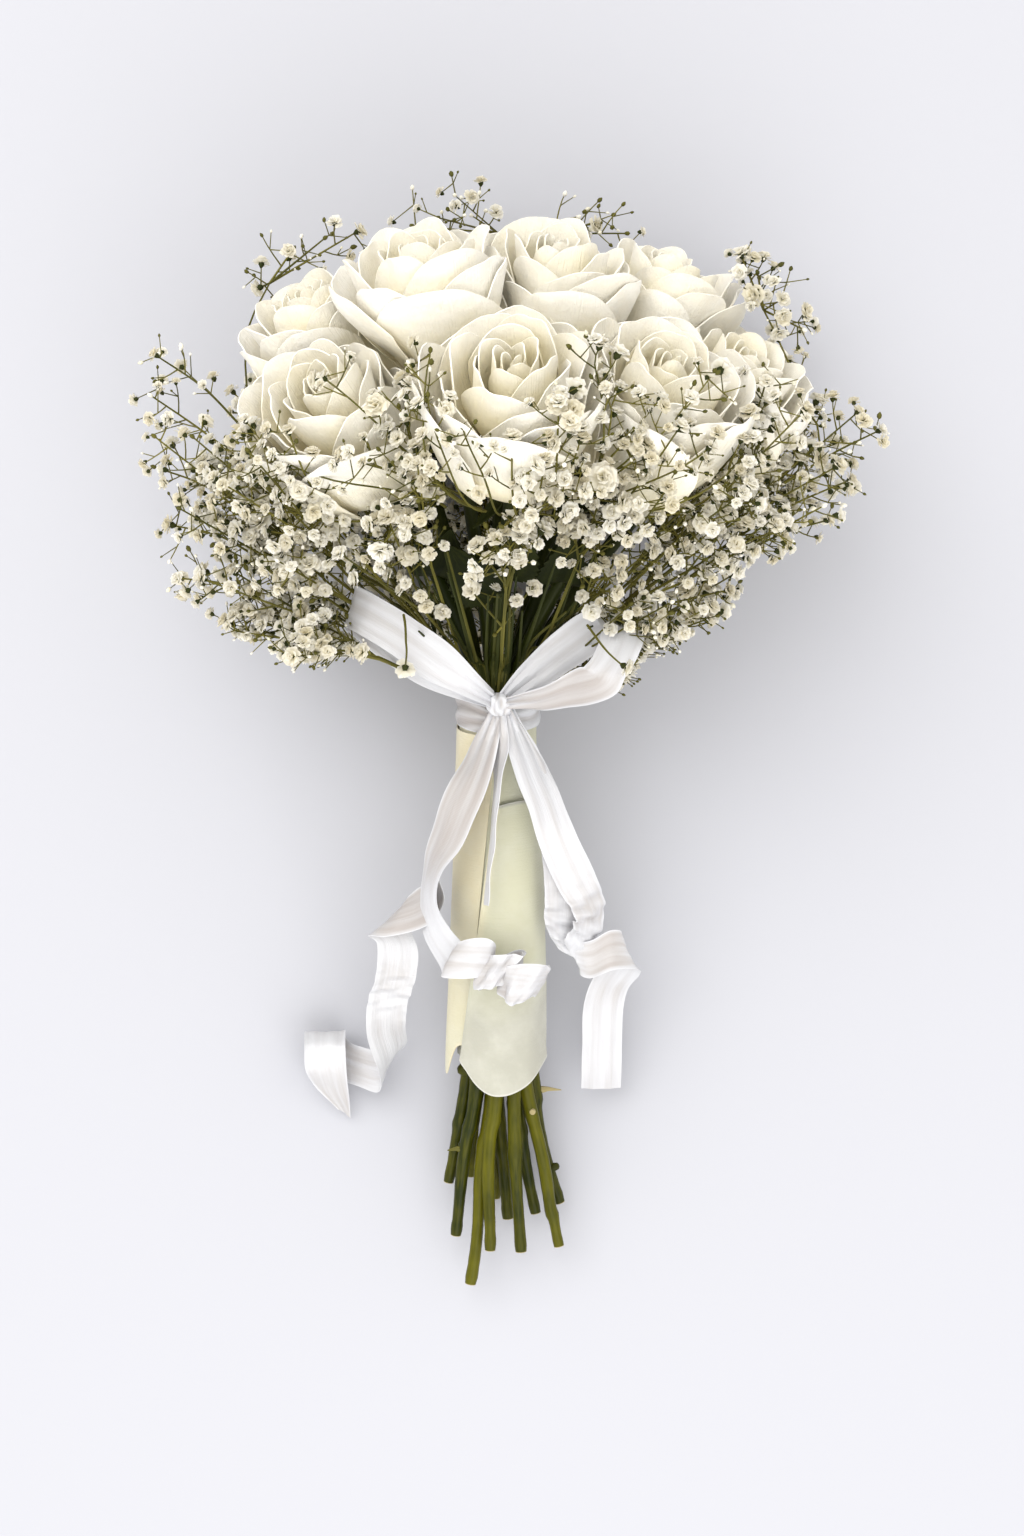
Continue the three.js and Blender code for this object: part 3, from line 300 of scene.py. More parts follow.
class Shader:
    """A procedural material round one principled shader."""

    def __init__(self, name, **sockets):
        self.material = bpy.data.materials.new(name)
        self.material.use_nodes = True
        self.tree = self.material.node_tree
        self.surface = self.tree.nodes["Principled BSDF"]
        self.surface.inputs["Subsurface Radius"].default_value = WHITE
        for socket, value in sockets.items():
            self.surface.inputs[socket.replace("_", " ")].default_value = value

    def put(self, socket, value):
        """Fills a socket with a link, a number or a colour."""
        if isinstance(value, bpy.types.NodeSocket):
            self.tree.links.new(value, socket)
        else:
            socket.default_value = value if isinstance(value, (int, float)) else (*value, 1)

    def node(self, kind, settings=None, **sockets):
        made = self.tree.nodes.new("ShaderNode" + kind)
        for key, value in (settings or {}).items():
            setattr(made, key, value)
        for socket, value in sockets.items():
            self.put(made.inputs[socket.replace("_", " ")], value)
        return made

    def maths(self, operation, first, second=0.0):
        made = self.node("Math", {"operation": operation})
        for socket, value in zip(made.inputs, (first, second)):
            self.put(socket, value)
        return made.outputs[0]

    def times(self, first, second):
        return self.maths("MULTIPLY", first, second)

    def plus(self, first, second):
        return self.maths("ADD", first, second)

    def less(self, first, second):
        return self.maths("SUBTRACT", first, second)

    def note(self):
        """The three numbers that each point carries."""
        carried = self.node("Attribute", {"attribute_name": "note"})
        return self.node("SeparateXYZ", Vector=carried.outputs["Vector"]).outputs

    def noise(self, place, scale, detail, roughness=0.55):
        made = self.node("TexNoise", Vector=place, Scale=scale, Detail=detail, Roughness=roughness)
        return made.outputs["Fac"]

    def patches(self, scale, detail=3.0, roughness=0.55):
        """Noise that is alike in every direction."""
        return self.noise(self.node("TexCoord").outputs["Object"], scale, detail, roughness)

    def streaks(self, x, x_scale, y, y_scale, z, detail=3.0):
        """Noise that is drawn out along one way."""
        place = self.node("CombineXYZ", X=self.times(x, x_scale), Y=self.times(y, y_scale), Z=z)
        return self.noise(place.outputs[0], 1.0, detail)

    def ramp(self, value, stops):
        made = self.node("ValToRGB", Fac=value)
        elements = made.color_ramp.elements
        while len(elements) < len(stops):
            elements.new(0.5)
        for element, (at, colour) in zip(elements, stops):
            element.position = at
            element.color = (*colour, 1)
        return made.outputs["Color"]

    def blend(self, share, first, second):
        made = self.node("Mix", {"data_type": "RGBA"})
        for number, value in zip(MIX_INPUTS, (share, first, second)):
            self.put(made.inputs[number], value)
        return made.outputs[MIX_OUTPUT]

    def colour(self, value):
        self.tree.links.new(value, self.surface.inputs["Base Color"])

    def bump(self, value, strength, distance):
        made = self.node("Bump", Height=value, Strength=strength, Distance=distance)
        self.tree.links.new(made.outputs[0], self.surface.inputs["Normal"])


# Colours of petals from their rims to their feet, and of their veins and of the painted shade in their
# crinkles
# The warmer feet are partly the petals' own colour and partly painted shade in the folds
PETAL_COLOURS = (
    (0.0, (0.995, 0.978, 0.925)), (0.25, (0.993, 0.96, 0.85)),
    (0.5, (0.988, 0.925, 0.7)), (1.0, (0.97, 0.86, 0.54)),
)
VEIN_COLOUR = (0.93, 0.88, 0.76)
CRINKLE_SHADE_COLOUR = (0.93, 0.86, 0.7)
# Colours of stems in the shade above the binding, and of their cut ends
SHADE_GREEN = (0.014, 0.022, 0.003)
CUT_COLOUR = (0.36, 0.3, 0.15)
# Colours of florets from their feet to their rims, and of the warmer ones
FLORET_COLOURS = ((0.0, (0.5, 0.48, 0.26)), (0.35, (0.84, 0.8, 0.64)), (1.0, (0.92, 0.905, 0.85)))
WARM_FLORET = (0.66, 0.58, 0.34)
# Colours of cloth by its shade, and of its slubs and patches
CLOTH_COLOURS = (
    (0.0, (0.71, 0.635, 0.44)), (0.4, (0.57, 0.575, 0.43)), (0.78, (0.4, 0.4, 0.35)),
    (0.88, (0.4, 0.4, 0.36)), (1.0, (0.6, 0.6, 0.58)),
)
SLUB_COLOUR = (0.5, 0.5, 0.35)
PALE_PATCH = (0.7, 0.71, 0.65)
WARM_PATCH = (0.66, 0.61, 0.43)
# Colours of satin from lit lavender white to taupe painted shade, and of the painted sheen on its fibres
SATIN_LIT_TO_SHADED = (
    (0.0, (0.61, 0.62, 0.655)), (0.3, (0.535, 0.535, 0.56)), (0.6, (0.46, 0.445, 0.445)),
    (1.0, (0.365, 0.33, 0.315)),
)
FIBRE_SHEEN_COLOUR = (0.66, 0.67, 0.7)


def petal_material():
    """Cream-white petals, warmer at foot and middle partly as painted shade, fine veins, painted shade in
    crinkles.
    """
    shader = Shader("petal", Roughness=0.5, Sheen_Weight=0.08, Specular_IOR_Level=0.35)
    across, along, depth = shader.note()
    foot = shader.less(1.0, along)
    # Painted shade: the warmth towards the foot and the inner layers adds to the petals' own cream
    warmth_and_shade = shader.plus(shader.times(foot, 0.9), shader.times(depth, 0.26))
    blotch = shader.less(shader.patches(45.0), 0.46)
    warmth_and_shade = shader.plus(warmth_and_shade, shader.times(blotch, 0.75))
    colour = shader.ramp(warmth_and_shade, PETAL_COLOURS)
    veins = shader.streaks(across, 30.0, along, 3.0, depth)
    crinkles = shader.patches(120.0, 8.0, 0.7)
    veined = shader.blend(shader.times(veins, 0.1), colour, VEIN_COLOUR)
    # Painted shade: the crinkles' hollows take a darker, warmer colour
    crinkle_shade = shader.ramp(crinkles, ((0.36, WHITE), (0.52, BLACK)))
    shader.colour(shader.blend(shader.times(crinkle_shade, 0.3), veined, CRINKLE_SHADE_COLOUR))
    shader.bump(shader.plus(shader.times(veins, 0.5), crinkles), 0.7, 0.0014)
    return shader.material


def green_material(name, light, dark, roughness):
    """Green tissue with long streaks, darker patches, painted shade above the binding and pale cut ends."""
    shader = Shader(name, Roughness=roughness, Specular_IOR_Level=0.16)
    round_, along, tone = shader.note()
    streaks = shader.streaks(round_, 5.0, along, 30.0, tone)
    patches = shader.patches(45.0)
    share = shader.plus(shader.times(streaks, 0.6), shader.times(patches, 0.4))
    share = shader.plus(share, shader.times(shader.less(tone, 0.5), 0.22))
    middle = mix(np.array(dark), np.array(light), 0.5)
    colour = shader.ramp(share, ((0.32, dark), (0.5, middle), (0.68, light)))
    # Painted shade: above the binding the green turns to the shade colour
    above = shader.ramp(along, ((SHADED[0], BLACK), (SHADED[1], WHITE)))
    colour = shader.blend(shader.times(above, 0.86), colour, SHADE_GREEN)
    cut = shader.maths("GREATER_THAN", tone, PALE - 0.5)
    shader.colour(shader.blend(cut, colour, CUT_COLOUR))
    shader.bump(streaks, 0.3, 0.0005)
    return shader.material


def floret_material():
    """Green-white at a floret's foot, white at its rim, some florets warmer than others."""
    shader = Shader(
        "floret", Roughness=0.6, Subsurface_Weight=0.4, Subsurface_Scale=0.004,
        Subsurface_Radius=(1.0, 1.0, 0.9),
    )
    _, along, tone = shader.note()
    base = shader.ramp(along, FLORET_COLOURS)
    shader.colour(shader.blend(shader.times(tone, 0.65), base, WARM_FLORET))
    shader.bump(shader.patches(900.0), 0.3, 0.0003)
    return shader.material


def wrap_material():
    """Cloth: the third number is a shade from warm ivory to grey, and beyond it a bright edge."""
    shader = Shader("wrap", Roughness=0.6, Sheen_Weight=0.2, Subsurface_Weight=0.12, Subsurface_Scale=0.0012)
    across, along, shade = shader.note()
    threads = [shader.maths("SINE", shader.times(way, 2 * math.pi / WEAVE)) for way in (across, along)]
    cloth = shader.times(*threads)
    slubs = shader.streaks(across, 140.0, along, 1500.0, shade)
    mottle = shader.patches(70.0, 5.0, 0.65)
    patches = shader.patches(28.0, 2.0)
    base = shader.ramp(shade, CLOTH_COLOURS)
    tinted = shader.blend(shader.times(slubs, 0.16), base, SLUB_COLOUR)
    light_patches = shader.ramp(mottle, ((0.42, BLACK), (0.64, WHITE)))
    tinted = shader.blend(shader.times(light_patches, 0.2), tinted, PALE_PATCH)
    shader.colour(shader.blend(shader.times(patches, 0.12), tinted, WARM_PATCH))
    relief = shader.plus(shader.times(cloth, 0.15), shader.plus(slubs, mottle))
    shader.bump(relief, 0.4, 0.0006)
    return shader.material


def satin_material():
    """Satin ribbon: lit lavender white to taupe painted shade, painted highlights in streaks along it, faint
    ribs across it.
    """
    shader = Shader(
        "satin", Roughness=0.3, Sheen_Weight=0.15, Subsurface_Weight=0.08, Subsurface_Scale=0.001,
        Specular_IOR_Level=0.65, Coat_Weight=0.2, Coat_Roughness=0.22,
    )
    across, along, shade = shader.note()
    ribs = shader.maths("SINE", shader.times(along, 2 * math.pi / RIBS))
    streaks = shader.streaks(across, 420.0, along, 22.0, shade, 2.0)
    fibres = shader.streaks(across, 2600.0, along, 60.0, shade)
    # Painted highlights and shade: the streaks lighten or darken the ribbon as a satin sheen would
    streak_highlights = shader.times(shader.less(streaks, 0.5), 0.9)
    base = shader.ramp(shader.plus(shade, streak_highlights), SATIN_LIT_TO_SHADED)
    # Painted sheen along the fibres
    shader.colour(shader.blend(shader.times(fibres, 0.15), base, FIBRE_SHEEN_COLOUR))
    relief = shader.plus(shader.times(ribs, 0.06), shader.plus(streaks, fibres))
    shader.bump(relief, 0.3, 0.0005)
    return shader.material


PETAL = petal_material()
STEM = green_material("stem", (0.105, 0.1, 0.003), (0.016, 0.022, 0.001), 0.4)
LEAF = green_material("leaf", (0.035, 0.042, 0.004), (0.01, 0.014, 0.002), 0.7)
TWIG = green_material("twig", (0.19, 0.17, 0.034), (0.055, 0.056, 0.011), 0.6)
FLORET = floret_material()
WRAP = wrap_material()
SATIN = satin_material()

# Roses: the middle of each bloom, its radius, the way it faces and its stem's place in degrees
ROSE_ROWS = (
    ("a", (-0.054, 0.111, 0.027), 0.034, (-0.38, 0.72, 0.58), 140),
    ("b", (-0.061, 0.132, -0.014), 0.03, (-0.45, 0.88, 0.1), 180),
    ("c", (-0.024, 0.148, 0.01), 0.035, (-0.2, 0.96, 0.16), 120),
    ("d", (0.005, 0.121, 0.058), 0.034, (0.0, 0.82, 0.57), 100),
    ("e", (0.018, 0.147, -0.006), 0.034, (0.1, 0.97, 0.2), 240),
    ("f", (0.054, 0.116, 0.036), 0.034, (0.3, 0.85, 0.42), 60),
    ("g", (0.056, 0.137, -0.032), 0.033, (0.25, 0.95, 0.0), 0),
    ("h", (0.08, 0.112, -0.008), 0.031, (0.5, 0.84, 0.2), 20),
    ("i", (-0.042, 0.11, -0.066), 0.033, (-0.35, 0.7, -0.6), 220),
    ("j", (0.002, 0.132, -0.058), 0.033, (0.0, 0.8, -0.6), 260),
    ("k", (0.082, 0.104, -0.064), 0.031, (0.5, 0.72, -0.5), 340),
    ("l", (0.034, 0.102, -0.066), 0.033, (0.2, 0.7, -0.68), 300),
)
# Stems that stand in the inner ring, and how close each bloom comes to the surface
INNER_SLOTS = (0, 120, 240)
RESTING = {"i": 0.0017, "k": 0.0024}
OTHER_CLEARANCE = -0.0012
FRONT = Vector((0, 0, 1))


def rose_frame(key, middle, radius, faces, slot):
    """A rose with the foot of its bloom and the two ways across it."""
    middle, faces = Vector(middle), Vector(faces).normalized()
    side = (FRONT - faces * faces.z).normalized()
    return {
        "key": key, "middle": middle, "radius": radius, "faces": faces, "slot": slot,
        "side": side, "across": faces.cross(side), "base": middle - faces * radius,
    }


def bloom_walls(rose):
    """Planes towards a bloom's neighbours and the surface: their ways, and the room up to each."""
    ways, rooms = [], []
    for other in ROSES:
        if other is not rose:
            way = other["middle"] - rose["middle"]
            ways.append(way.normalized())
            share = rose["radius"] / (rose["radius"] + other["radius"])
            rooms.append(way.length * share - (BLADE + GAP) / 2)
    ways.append(DOWN)
    rooms.append(height(rose["middle"]) + RESTING.get(rose["key"], OTHER_CLEARANCE))
    return np.array(ways), np.array(rooms)


ROSES = [rose_frame(*row) for row in ROSE_ROWS]
for rose in ROSES:
    rose["walls"] = bloom_walls(rose)

# How far a bloom reaches in a direction: a rounded drum, pressed flat by its neighbours
DRUM_RADIUS = 1.05
DRUM_HALF_HEIGHT = 1.02
DRUM_POWER = 3
PRESS_POWER = 8


def bloom_points(rose, turn, radius, rise):
    """A bloom's points at turns, radii and rises, the last two as shares of the bloom's radius."""
    faces, side, across = (np.array(rose[key]) for key in ("faces", "side", "across"))
    free = (
        rise[..., None] * faces
        + (radius * np.cos(turn))[..., None] * side
        + (radius * np.sin(turn))[..., None] * across
    ) * rose["radius"]
    distance = np.linalg.norm(free, axis=-1)
    way = free / np.maximum(distance, 1e-9)[..., None]
    up = np.abs(way @ faces)
    spread = np.sqrt(np.maximum(0, 1 - up * up))
    drum = (spread / DRUM_RADIUS) ** DRUM_POWER + (up / DRUM_HALF_HEIGHT) ** DRUM_POWER
    open_ = rose["radius"] / drum ** (1 / DRUM_POWER)
    ways, rooms = rose["walls"]
    pressed = open_**-PRESS_POWER
    pressed = pressed + ((np.maximum(0, way @ ways.T) / rooms) ** PRESS_POWER).sum(axis=-1)
    pressed = pressed ** (-1 / PRESS_POWER)
    share = np.minimum(1, distance / open_)
    return way * (share * pressed)[..., None] + np.array(rose["middle"])


# Petal layers from the outside in: half is a petal's half width and start its first turn, both in
# degrees, and outline is (radius, rise) from the foot to the rim
Layer = namedtuple("Layer", "petals half start lip outline")
LAYERS = (
    Layer(5, 47, 0, 0.1, ((0.2, -0.95), (0.7, -0.66), (0.94, -0.05), (0.96, 0.6))),
    Layer(5, 48, 38, 0.1, ((0.2, -0.9), (0.62, -0.55), (0.84, 0.0), (0.84, 0.7))),
    Layer(4, 56, 20, 0.085, ((0.22, -0.72), (0.52, -0.3), (0.7, 0.15), (0.68, 0.76))),
    Layer(4, 58, 68, 0.06, ((0.2, -0.6), (0.42, -0.15), (0.55, 0.25), (0.51, 0.8))),
    Layer(3, 70, 50, 0.045, ((0.18, -0.4), (0.33, 0.0), (0.41, 0.35), (0.36, 0.81))),
    Layer(3, 76, 105, 0.03, ((0.14, -0.3), (0.24, 0.05), (0.29, 0.4), (0.25, 0.8))),
    Layer(3, 86, 20, 0.015, ((0.1, -0.1), (0.16, 0.2), (0.19, 0.45), (0.15, 0.78))),
    Layer(2, 125, 60, 0.0, ((0.05, 0.0), (0.08, 0.2), (0.09, 0.5), (0.065, 0.75))),
)
# How petals spiral in and narrow, roll, drop and ruffle at the rim
SPIRAL = 0.065
RIM_DROP = 0.07
RIM_NARROWING = 0.22
RUFFLE = 0.024
CORNER = 0.24
CORNER_POWER = 3
TURN_STRAY = 20
LIFT_STRAY = 0.12
ROW_POWER = 1.3
FOOT_TOP = 0.45
FOOT_WIDTH = 0.3
ROLL_FROM = 0.62
EDGE_FROM = 0.6
TIP_WIDTH = 0.35
PETAL_ROWS = 14
PETAL_COLUMNS = 17
PETAL_THICKNESS = 0.0005


def petal_grid(rose, layer, number, draw):
    """A petal: its points, and the shares across and along it."""
    stray = TURN_STRAY * (draw() - 0.5)
    turn = math.radians(360 * number / layer.petals + layer.start + stray)
    lift = LIFT_STRAY * (draw() - 0.5)
    phase, tilt, size = AROUND * draw(), draw() - 0.5, 0.9 + 0.2 * draw()
    t, s = shares(PETAL_ROWS, PETAL_COLUMNS)
    t, s = 1 - (1 - t) ** ROW_POWER, 2 * s - 1
    t = t * (1 - CORNER * np.abs(s) ** CORNER_POWER)
    radius, rise = np.moveaxis(smoothed(layer.outline, t), -1, 0)
    foot = rising(t, 0, FOOT_TOP)
    half = math.radians(layer.half) * size * (1 - RIM_NARROWING * t**3)
    half = half * mix(FOOT_WIDTH, 1, foot * foot * (3 - 2 * foot))
    roll = rising(t, ROLL_FROM, 1 - ROLL_FROM) ** 2 * (1 + 0.8 * tilt * s)
    edge = rising(np.abs(s), EDGE_FROM, 1 - EDGE_FROM) ** 2 * t
    tip = bump(s - 0.3 * tilt, 0, TIP_WIDTH) * t**6
    wave = np.sin(3.1 * s + phase) * t**2 + 0.7 * np.sin(6.3 * s - 2 * phase) * t**4
    wave = wave + 0.4 * np.sin(11 * s + 3 * phase + 4 * t) * t**6
    radius = radius + SPIRAL * s + layer.lip * (roll + 0.6 * edge + 0.15 * tip)
    radius = radius + RUFFLE * wave * (0.35 + layer.lip / 0.1)
    rise = rise + t * lift - RIM_DROP * s * s * t * t - layer.lip * 0.6 * roll + 0.015 * tip
    rise = rise + 0.02 * np.sin(4 * s + phase) * t**2
    return bloom_points(rose, turn + half * s, radius, rise), s, t


def rose_body(rose, number):
    draw = draws(100 + number)
    body = Body()
    for depth, layer in enumerate(LAYERS):
        for petal in range(layer.petals):
            grid, s, t = petal_grid(rose, layer, petal, draw)
            notes = np.stack((s + 3 * petal, t, np.full_like(s, depth / (len(LAYERS) - 1))), axis=-1)
            body.add_blade(grid, PETAL_THICKNESS, 0, notes)
    return body


for number, rose in enumerate(ROSES):
    name = "rose_" + rose["key"]
    make(name + "_bloom", name, rose_body(rose, number), [PETAL], on_surface)

# Stems: straight in the bundle, curved out to the bloom, splayed below the wrap
STEM_ENDS = {
    "a": (-0.0165, -0.207, 0.005), "b": (-0.019, -0.188, -0.0015), "c": (-0.0105, -0.225, 0.01),
    "d": (-0.0035, -0.21, 0.013), "e": (0.0037, -0.203, -0.002), "f": (0.0085, -0.211, 0.012),
    "g": (0.0142, -0.2, 0), "h": (0.0236, -0.211, 0.007), "i": (-0.0095, -0.188, -0.008),
    "j": (-0.0015, -0.1975, -0.0096), "k": (0.0236, -0.197, -0.003), "l": (0.007, -0.184, -0.0092),
}
# The hip under a bloom: (rise, radius) above the stem's top
HIP_LENGTH = 0.008
HIP = [(0.0025, 0.0036), (0.005, 0.0049), (0.008, 0.0036)]
# A stem's radii from its cut end, its waist and taper above it, up to its bloom
WAIST = 0.004
TAPER = 0.012
WAIST_STRAY = 0.0003
STEM_RADII = (0.002, 0.0019, 0.0022, 0.003, STEM_RADIUS, 0.0026, 0.0025)
# Rows of a stem below the bundle, in it and above it, how it wanders, and its node
LOOSE_ROWS = 41
BUNDLE_ROWS = 6
NECK_ROWS = 14
STEM_SIDES = 12
WANDER = 0.0009
WANDER_PACE = 95
KINK = 0.0008
KINK_LENGTH = 0.002
NODE_LENGTH = 0.0022
NODE_SWELL = 0.2
SPLAY_POWER = 1.3
NECK_POWER = 1.35


def slot_at(rose, y):
    ring = INNER_RING if rose["slot"] in INNER_SLOTS else OUTER_RING
    radius = ring * (1 + (BUNDLE_SPREAD - 1) * max(0, -y) / -BUNDLE_FOOT)
    turn = math.radians(rose["slot"])
    return Vector((radius * math.cos(turn), y, radius * math.sin(turn)))


def stem_top(rose):
    return rose["base"] - rose["faces"] * (HIP_LENGTH + GAP)


def stem_above(rose, y):
    top = stem_top(rose)
    share = max(0, (y - BUNDLE_TOP) / (top.y - BUNDLE_TOP)) ** NECK_POWER
    slot = slot_at(rose, y)
    return Vector((mix(slot.x, top.x, share), y, mix(slot.z, top.z, share)))


def stem_below(rose, y):
    end = STEM_ENDS[rose["key"]]
    share = max(0, (BUNDLE_FOOT - y) / (BUNDLE_FOOT - end[1])) ** SPLAY_POWER
    slot = slot_at(rose, BUNDLE_FOOT)
    return Vector((mix(slot.x, end[0], share), y, mix(slot.z, end[2], share)))


def node_height(end, phase):
    """Where a stem has its node below the wrap."""
    return mix(end, BUNDLE_FOOT, 0.15 + 0.5 * phase)


def stem_path(rose, phase):
    end, top = STEM_ENDS[rose["key"]][1], stem_top(rose).y
    path = []
    for y in np.linspace(end, BUNDLE_FOOT, LOOSE_ROWS)[:-1]:
        wander = WANDER * math.sin(WANDER_PACE * (y - BUNDLE_FOOT)) * (1 - 2 * phase)
        kink = KINK * math.tanh((y - node_height(end, phase)) / KINK_LENGTH) * (phase - 0.5)
        path.append(stem_below(rose, y) + Vector((wander + kink, 0, 0.5 * wander)))
    path += [slot_at(rose, y) for y in np.linspace(BUNDLE_FOOT, BUNDLE_TOP, BUNDLE_ROWS)]
    path += [stem_above(rose, y) for y in np.linspace(BUNDLE_TOP, top, NECK_ROWS)[1:]]
    return path


def stem_radius(rose, y, phase):
    """A stem's radius at a height: thinner at its cut end, uneven below the wrap, thicker at its node."""
    end, top = STEM_ENDS[rose["key"]][1], stem_top(rose).y
    places = (end, end + WAIST, end + TAPER, BUNDLE_FOOT, BUNDLE_TOP, 0.4 * top, top)
    radii = np.array(STEM_RADII) + (0, WAIST_STRAY * phase, 0, 0, 0, 0, 0)
    node = bump(y, node_height(end, phase), NODE_LENGTH) + 0.6 * bump(y, end + 0.003, 0.002)
    rough = math.sin(700 * y + 9 * phase) + math.sin(1130 * y)
    uneven = 0.05 * math.sin(160 * y + AROUND * phase) + 0.012 * rough
    return np.interp(y, places, radii) * (1 + uneven * (y < BUNDLE_FOOT) + NODE_SWELL * node)


def ring_notes(rows, sides, length, tone):
    notes = np.zeros((rows, sides, 3))
    notes[..., 0] = np.abs(np.arange(sides) / sides * 2 - 1)
    notes[..., 1] = np.linspace(0, length, rows)[:, None]
    notes[..., 2] = tone
    return notes.reshape(-1, 3)


def add_tube(body, path, radii, sides, slot, tone):
    points, faces = tube(path, radii, sides)
    path = np.asarray(path, float)
    length = np.linalg.norm(np.diff(path, axis=0), axis=1).sum()
    body.add(points, faces, slot, ring_notes(len(path), sides, length, tone))


# A cut end's rings, from the skin to the middle of the pale face: how far out and how wide they are
CUT_RINGS = ((-0.001, 0.9), (0.0002, 1.02), (0.0002, 0.78), (-0.0003, 0.2))
CUT_SIDES = 12


def add_cut_end(body, end, inward, radius):
    """The pale cut face at a stem's end, a little hollow, inside a dark skin."""
    out = -unit(np.array(inward))
    centre = np.array(end)
    circle = tube_grid([centre - out * 0.001, centre], 1, CUT_SIDES)[1] - centre
    grid = np.array([centre + out * rise + circle * (radius * share) for rise, share in CUT_RINGS])
    body.add(grid.reshape(-1, 3), ring_faces(len(CUT_RINGS), CUT_SIDES), 0, (0, 0, PALE))


def leaf_grid(root, way, face, length, width, steps, teeth, fold, arch):
    """A leaf: its rib, its toothed edges and the blade between them."""
    rib = unit(np.array(way, float))
    up = unit(np.array(face, float) - rib * np.dot(face, rib))
    over = np.cross(rib, up)
    t = np.linspace(0, 1, steps * 2 + 1)
    shape = np.sin(math.pi * np.minimum(1, 0.04 + t * 0.96) ** 0.85) ** 0.8
    tooth = 1 + teeth * (np.arange(len(t)) % 2 - 0.5)
    half = np.maximum(0.0004, width * shape * tooth)
    centre = np.array(root)[None] + rib * (length * t)[:, None]
    centre = centre + up * (arch * length * (np.sin(math.pi * t) - 0.75 * t))[:, None]
    s = np.array((-1, -0.55, 0, 0.55, 1))
    lift = fold * np.abs(s) ** 1.2
    grid = (
        centre[:, None]
        + over * (half[:, None] * -s)[..., None]
        + up * (half[:, None] * lift)[..., None]
    )
    notes = np.zeros(grid.shape)
    notes[..., 0] = s
    notes[..., 1] = (length * t)[:, None]
    return grid, notes


def add_leaf(body, slot, thickness, *shape):
    grid, notes = leaf_grid(*shape)
    body.add_blade(grid, thickness, slot, notes)


# Leaves by stem: their share of its height, the way they point and their length. A leaf's shape is
# its steps, how deep its teeth are, its fold and its arch
LEAVES = {
    "d": [(0.5, (-0.75, 0.8, 0.55), 0.03), (0.6, (0.35, 0.8, 0.7), 0.028)],
    "a": [(0.6, (0.2, 0.7, 0.85), 0.03)],
    "f": [(0.6, (0.1, 0.7, 0.9), 0.03)],
}
LEAF_FACES = (0, -0.5, 1)
LEAF_WIDTH = 0.34
LEAF_BLADE = 0.0005
LEAF_SHAPE = (12, 0.16, 0.25, 0.16)
# Thorns, knobs and the scar by stem: their share of its height and their turn round it
THORNS = {"d": (0.55, 1.2), "k": (0.165, 6.1), "f": (0.28, 1.0), "a": (0.12, 3.2)}
LONG_THORN = {"k": (1.5, PALE)}
THORN_HOOK = ((0.004, 0.0003), (0.0075, -0.0005))
THORN_RADII = (0.0019, 0.0009, 0.0002)
KNOBS = {
    "b": (0.75, 2.8, 0.0023), "a": (0.45, 3.5, 0.0017), "k": (0.2, 0.2, 0.0015), "c": (0.5, 1.2, 0.0012),
}
SCARRED = "h"
SCAR_HEIGHT = -0.157
SCAR_RISES = (0.002, 0.0029, 0.0031)
SCAR_RADII = (0.0013, 0.0011, 0.0004)
KNOB_ROOT = 0.0017
SEPALS = 5
SEPAL_RISE = 0.0055
SEPAL_OUT = 0.0025
SEPAL_LENGTH = 0.017
SEPAL_WIDTH = 0.0024
SEPAL_BLADE = 0.0004
SEPAL_SHAPE = (5, 0.06, 0.5, -0.14)


def stem_place(rose, y):
    return stem_below(rose, y) if y < BUNDLE_FOOT else stem_above(rose, max(y, BUNDLE_TOP))


def add_sepals(body, rose, top, draw):
    """Narrow green leaves under a bloom that turn back towards its stem."""
    for k in range(SEPALS):
        turn = 2 * math.pi * k / SEPALS + 0.5
        out = rose["side"] * math.cos(turn) + rose["across"] * math.sin(turn)
        root = top + rose["faces"] * SEPAL_RISE + out * SEPAL_OUT
        way = out * 0.9 - rose["faces"] * (0.25 + 0.5 * draw())
        length = SEPAL_LENGTH + 0.004 * draw()
        add_leaf(body, 1, SEPAL_BLADE, root, way, rose["faces"], length, SEPAL_WIDTH, *SEPAL_SHAPE)


def add_thorn(body, rose, top):
    share, turn = THORNS[rose["key"]]
    at = stem_place(rose, mix(STEM_ENDS[rose["key"]][1], top.y, share))
    out = Vector((math.cos(turn), 0.0, math.sin(turn)))
    long, tone = LONG_THORN.get(rose["key"], (1, 0.5))
    path = [at + out * 0.0015]
    path += [at + out * (reach * long) + Vector((0, lift, 0)) for reach, lift in THORN_HOOK]
    add_tube(body, path, THORN_RADII, 6, 2, tone)


def add_knob(body, rose, tone):
    """A rounded stub where a shoot was taken off."""
    share, turn, size = KNOBS[rose["key"]]
    at = stem_below(rose, mix(STEM_ENDS[rose["key"]][1], BUNDLE_FOOT, share))
    out = Vector((math.cos(turn), 0.4, math.sin(turn)))
    path = [at] + [at + out * (KNOB_ROOT + size * rise) for rise in (0, 0.7, 1)]
    add_tube(body, path, [size * width for width in (1.3, 1.1, 0.9, 0.4)], 8, 0, tone)


def add_scar(body, rose):
    """A small pale patch on a stem's front."""
    at = stem_below(rose, SCAR_HEIGHT)
    add_tube(body, [at + FRONT * rise for rise in SCAR_RISES], SCAR_RADII, 9, 0, PALE)


